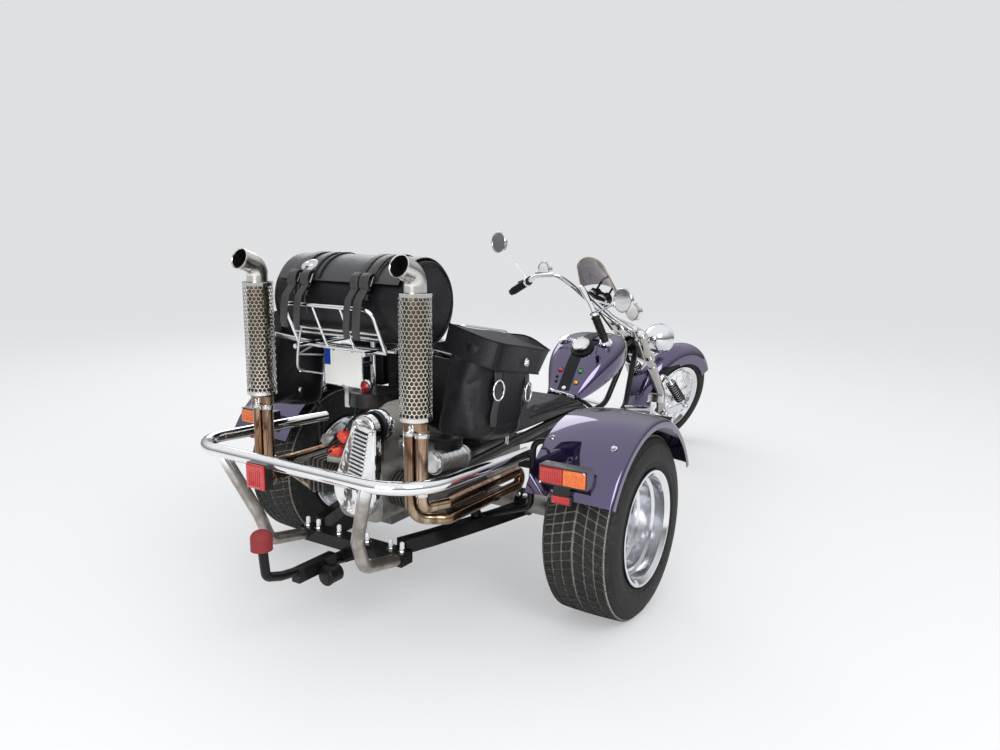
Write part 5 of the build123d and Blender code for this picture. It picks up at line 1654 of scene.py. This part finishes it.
def plate_dress():
    """The plate's rim, its two lamps, the round red lamp and the thin rods that carry them."""
    corners = [(141, 789), (331, 789), (331, 939), (141, 939), (141, 789)]
    rim = hose("plate_rim", [(-380, y, z) for y, z in corners], 3, smooth=False)
    screws = [bolt("plate_screw", at(-380, y, 925), at(-384, y, 925), 4, 3) for y in (190, 282)]
    behind = at(-400, 117, 803)
    bezel = [(19, 0), (23, 0), (25, 3), (25, 16), (23, 20), (20, 20), (19, 12), (19, 0)]
    bezel = turned("round_lamp_bezel", bezel, at(-378, 117, 803), behind, 32)
    stay = [(-700, 120, 1050), (-704, 128, 1000), (-700, 140, 950), (-690, 152, 905)]
    stay.append((-660, 160, 898))
    bracket = [(-384, 236, 792), (-388, 212, 776), (-388, 150, 776), (-386, 120, 784)]
    rods = [
        hose("stay", stay, 4),
        hose("lower_bar", [(-672, 158, 899), (-520, 240, 862), (-388, 333, 826)], 3.4),
        hose("upper_bar", [(-702, 136, 962), (-540, 232, 930), (-388, 333, 900)], 3.4),
        hose("diagonal", [(-702, 138, 960), (-540, 250, 955), (-384, 340, 945)], 3),
        hose("lamp_bracket", bracket, 6),
        slab("plate_stem", (6, 26, 90), (-372, 226, 752), 2),
    ]
    ends = ((-669, 1050), (-662, 1034))
    bars = [hose("bar", [(x, -188, z), (x, 188, z)], 5) for x, z in ends]
    done(join("rack_cross_bars", *bars), "dull_chrome")
    done(join("plate_brightwork", rim, *screws, bezel), "chrome")
    done(join("plate_rods", *rods), "duct")
    glass = [(0, 0), (19.5, 0), (19.5, 14), (16, 18), (8, 21), (0, 22)]
    glass = turned("round_lamp_lens", glass, at(-380, 117, 803), behind, 32)
    done(glass, "red_lens")
    light = [(0, 0), (8, 1), (10, 7), (10, 34), (7, 41), (0, 43)]
    ends = [(at(-394, y + 22, 949), at(-396, y - 22, 946)) for y in (338, 206)]
    lights = [turned("plate_light", light, start, end, 20) for start, end in ends]
    done(join("plate_lights", *lights), "white_plastic")


def wheel_dress():
    """Hub caps, wheel nuts and rim lips of the rear wheels, acorn nuts of the front end."""
    cap = [(0, -2), (42, -2), (43, 2), (40, 8), (36, 10), (34, 24), (26, 30), (12, 33), (0, 34)]
    lip = [(206.5, 0), (209, 0), (210, 1.5), (210, 4), (208, 5.5), (203, 5), (200, 2), (200, 0)]
    for side, name in SIDES:
        out = Vector((0, side, 0))
        hub, edge = (at(0, side * (WHEEL_Y + off), AXLE_HEIGHT) for off in (12, 128))
        parts = [turned("hub_cap", cap, hub, hub + out, 40)]
        for index in range(5):
            x, z, _ = around(76, index * tau / 5)
            base = at(x, side * (WHEEL_Y - 5), AXLE_HEIGHT + z)
            parts += domed_nut("wheel_nut", base, base + out, 9.5, 12, 24)
        parts.append(turned("rim_lip", [*lip, lip[0]], edge, edge + out, 96))
        done(join(f"wheel_dress_{name}", *parts), "chrome", f"wheel_rear_{name}")
    nuts = []
    cap = [(0, 0), (23, 0), (23, 5), (17, 9), (8, 11), (0, 11)]
    for side in (-1, 1):
        out = fork_left * side
        base = front_hub + out * 157 * MM
        nuts += domed_nut("axle_nut", base, base + out, 14, 11, 26)
        pivot = on_fork(-42, side * 157, 428)
        nuts += domed_nut("pivot_nut", pivot, pivot + out, 12, 9, 22)
        low, high = (on_fork(0, side * 110, w) for w in (1098, 1103))
        nuts.append(turned("leg_cap", cap, low, high, 28))
    low, high = (on_fork(0, 0, w) for w in (BAR_CLAMP, BAR_CLAMP + 8))
    nuts += domed_nut("stem_nut", low, high, 20, 14, 26)
    done(join("front_end_nuts", *nuts), "chrome", "steering")


def spring_units():
    """Coil springs round the front spring units."""
    axle_w = (front_hub - fork_foot).dot(fork_up) / MM
    count = 9 * 12
    coils = []
    for side in (-1, 1):
        low = on_fork(105, side * 145, axle_w + 36)
        high = on_fork(56, side * 145, 664)
        length = (high - low).length / MM
        heights = [(0.13 + 0.70 * index / count) * length for index in range(count + 1)]
        helix = [around(28, index * tau / 12, height) for index, height in enumerate(heights)]
        helix = [standing(low, high) @ (point * MM) for point in helix]
        coils.append(wire("coil", helix, 3.6, smooth=False))
    done(join("front_springs", *coils), "black_steel", "steering")


def facing_rider(u, v, w):
    """A frame in the front end whose Z faces straight back to the rider."""
    place = on_fork(u, v, w)
    back = fork_up * sin(radians(42)) - fork_ahead * cos(radians(42))
    return standing(place, place + back)


def front_end_lamps():
    """Headlamp glass and rim, indicator lenses, mirror glasses and their rims."""
    face = facing_rider(180, 0, 822) @ Matrix.Rotation(pi, 4, "X")
    glass = [(0, 43), (76, 43), (76, 46), (60, 52), (30, 56), (0, 57)]
    glass = turned_in(face, "headlamp_glass", glass, 48)
    done(glass, "clear_lens", "steering")
    rim = [(76, 40), (88, 34), (90, 40), (88, 48), (82, 51), (76, 50), (76, 40)]
    done(turned_in(face, "headlamp_rim", rim, 48), "chrome", "steering")
    rims = []
    dome = [(0, 12), (38, 12), (38, 15), (30, 19), (14, 22), (0, 22.5)]
    ring = [(38, 10), (45, 8), (46, 12), (44, 17), (40, 18), (38, 16), (38, 10)]
    mirror = [(0, 8), (51, 8), (51, 9.6), (0, 10.2)]
    edge = [(50, 7), (56, 5), (57, 9), (55, 12), (51, 12), (50, 7)]
    for side, name in SIDES:
        front = facing_rider(-153, side * 339, 1546)
        lens_dome = turned_in(front, f"indicator_lens_{name}", dome, 36)
        done(lens_dome, "white_plastic", "steering")
        rims.append(turned_in(front, "indicator_rim", ring, 36))
        back = facing_rider(-277, side * 466, 1804)
        mirror_face = turned_in(back, f"mirror_glass_{name}", mirror, 40)
        done(mirror_face, "mirror", "steering")
        rims.append(turned_in(back, "mirror_rim", edge, 40))
    done(join("lamp_and_mirror_rims", *rims), "dull_chrome", "steering")


def on_bar(place, side):
    """A place from the handlebar's clamp, for either side."""
    return on_fork(place[0], side * place[1], BAR_CLAMP + place[2])


def bar_controls():
    """Rings on the grips, lever perches, cables and the dials' glasses and bezels."""
    cables = []
    perches = []
    ribs = []
    bend = Vector((-292, 200, 588))
    along = (Vector((-388, 363, 478)) - bend).normalized()
    rib = [(17, 0), (21.5, 1), (21.5, 6), (17, 7), (17, 0)]
    perch = [(13, -9), (23, -9), (25, -6), (25, 6), (23, 9), (13, 9), (13, -9)]
    cable = [(-286, 214, 598), (-252, 150, 604), (-214, 64, 556), (-160, 46, 380), (-112, 46, 240)]
    cable += [(-40, 50, 60), (-12, 52, -40)]
    for side in (-1, 1):
        for index in range(9):
            spot = bend + along * (104 + index * 11.5)
            ends = on_bar(spot, side), on_bar(spot + along, side)
            ribs.append(turned("grip_rib", rib, *ends, 24))
        spot = bend + along * 80
        ends = on_bar(spot, side), on_bar(spot + along, side)
        perches.append(turned("perch", perch, *ends, 28))
        cables.append(wire("cable", [on_bar(place, side) for place in cable], 3))
    done(join("control_cables", *cables), "black_plastic", "steering")
    done(join("grip_ribs", *ribs), "black_plastic", "steering", sharp=50)
    ring = [(29, -4), (34, -6), (35, 0), (33, 5), (30, 5), (29, 2), (29, -4)]
    glass = [(0, -4), (29.5, -4), (29.5, 0.5), (0, 1.2)]
    centre = Vector((-118, 37, 355))
    back = (centre - Vector((-75, 37, 334))).normalized() * 10
    for side, name in SIDES:
        ends = on_bar(centre, side), on_bar(centre + back, side)
        perches.append(turned("dial_bezel", ring, *ends, 36))
        face = turned(f"dial_{name}", glass, *ends, 36)
        done(face, "dial", "steering")
    done(join("bar_brightwork", *perches), "chrome", "steering")


def screen_edge():
    """The pale rolled edge of the windscreen."""
    half = [(-150, 2), (-141, 68), (-131, 135), (-120, 168), (-104, 200), (-80, 218), (-50, 230)]
    outline = [*half, (0, 235), *[(-v, height) for v, height in reversed(half)]]
    points = []
    for v, height in outline:
        u = -189.4 + sqrt(179.4**2 - v**2) - 2 - 0.12 * height
        points.append(on_fork(u, v, 1440 + height))
    done(wire("screen_edge", points, 3.2), "screen_rim", "steering")


def peg_rubbers():
    """Ribbed rubbers on the pegs, both sides."""
    ribs = ridges(8, 13, [(18, 2), (18, 10), (15.5, 11), (15.5, 13.5)])
    sleeve = [(12, 0), *ribs, (18, 108), (20, 112), (12, 114), (12, 0)]
    ends = [(at(1490, side * 262, 364), at(1490, side * 380, 364)) for side in (-1, 1)]
    rubbers = [turned("peg_rubber", sleeve, base, tip, 24) for base, tip in ends]
    done(join("peg_rubbers", *rubbers), "rubber")


def tow_socket():
    """The towing socket's cap with its hinge, and the neck's two bolts."""
    cap = [(0, 0), (31, 0), (31, 5), (29, 8), (22, 9), (21, 13), (9, 15), (0, 15)]
    parts = [turned("socket_cap", cap, at(-786, -50, 253), at(-800, -50, 253), 32)]
    parts.append(slab("socket_hinge", (14, 26, 8), (-786, -50, 286), 2))
    for x in (-640, -560):
        parts.append(bolt("neck_bolt", at(x, 18, 270), at(x, 18, 290), 8, 8))
    done(join("tow_socket_cap", *parts), "black_plastic")


for job in (
    dress_cad_nodes,
    camera,
    saddlebags,
    leather_roll,
    roll_flap,
    roll_belts,
    roll_concho,
    perforated_shields,
    rear_tyres,
    front_ribbed_tyre,
    seat_cushions,
    box_lamps,
    frame_bolts,
    exhaust_clamps,
    exhaust_mouths,
    belt_guard_louvres,
    alternator_dress,
    distributor_and_pump,
    engine_bay_small_parts,
    tank_strip,
    tank_lights,
    tank_brightwork,
    plate_dress,
    wheel_dress,
    spring_units,
    front_end_lamps,
    bar_controls,
    screen_edge,
    peg_rubbers,
    tow_socket,
    studio,
):
    job()
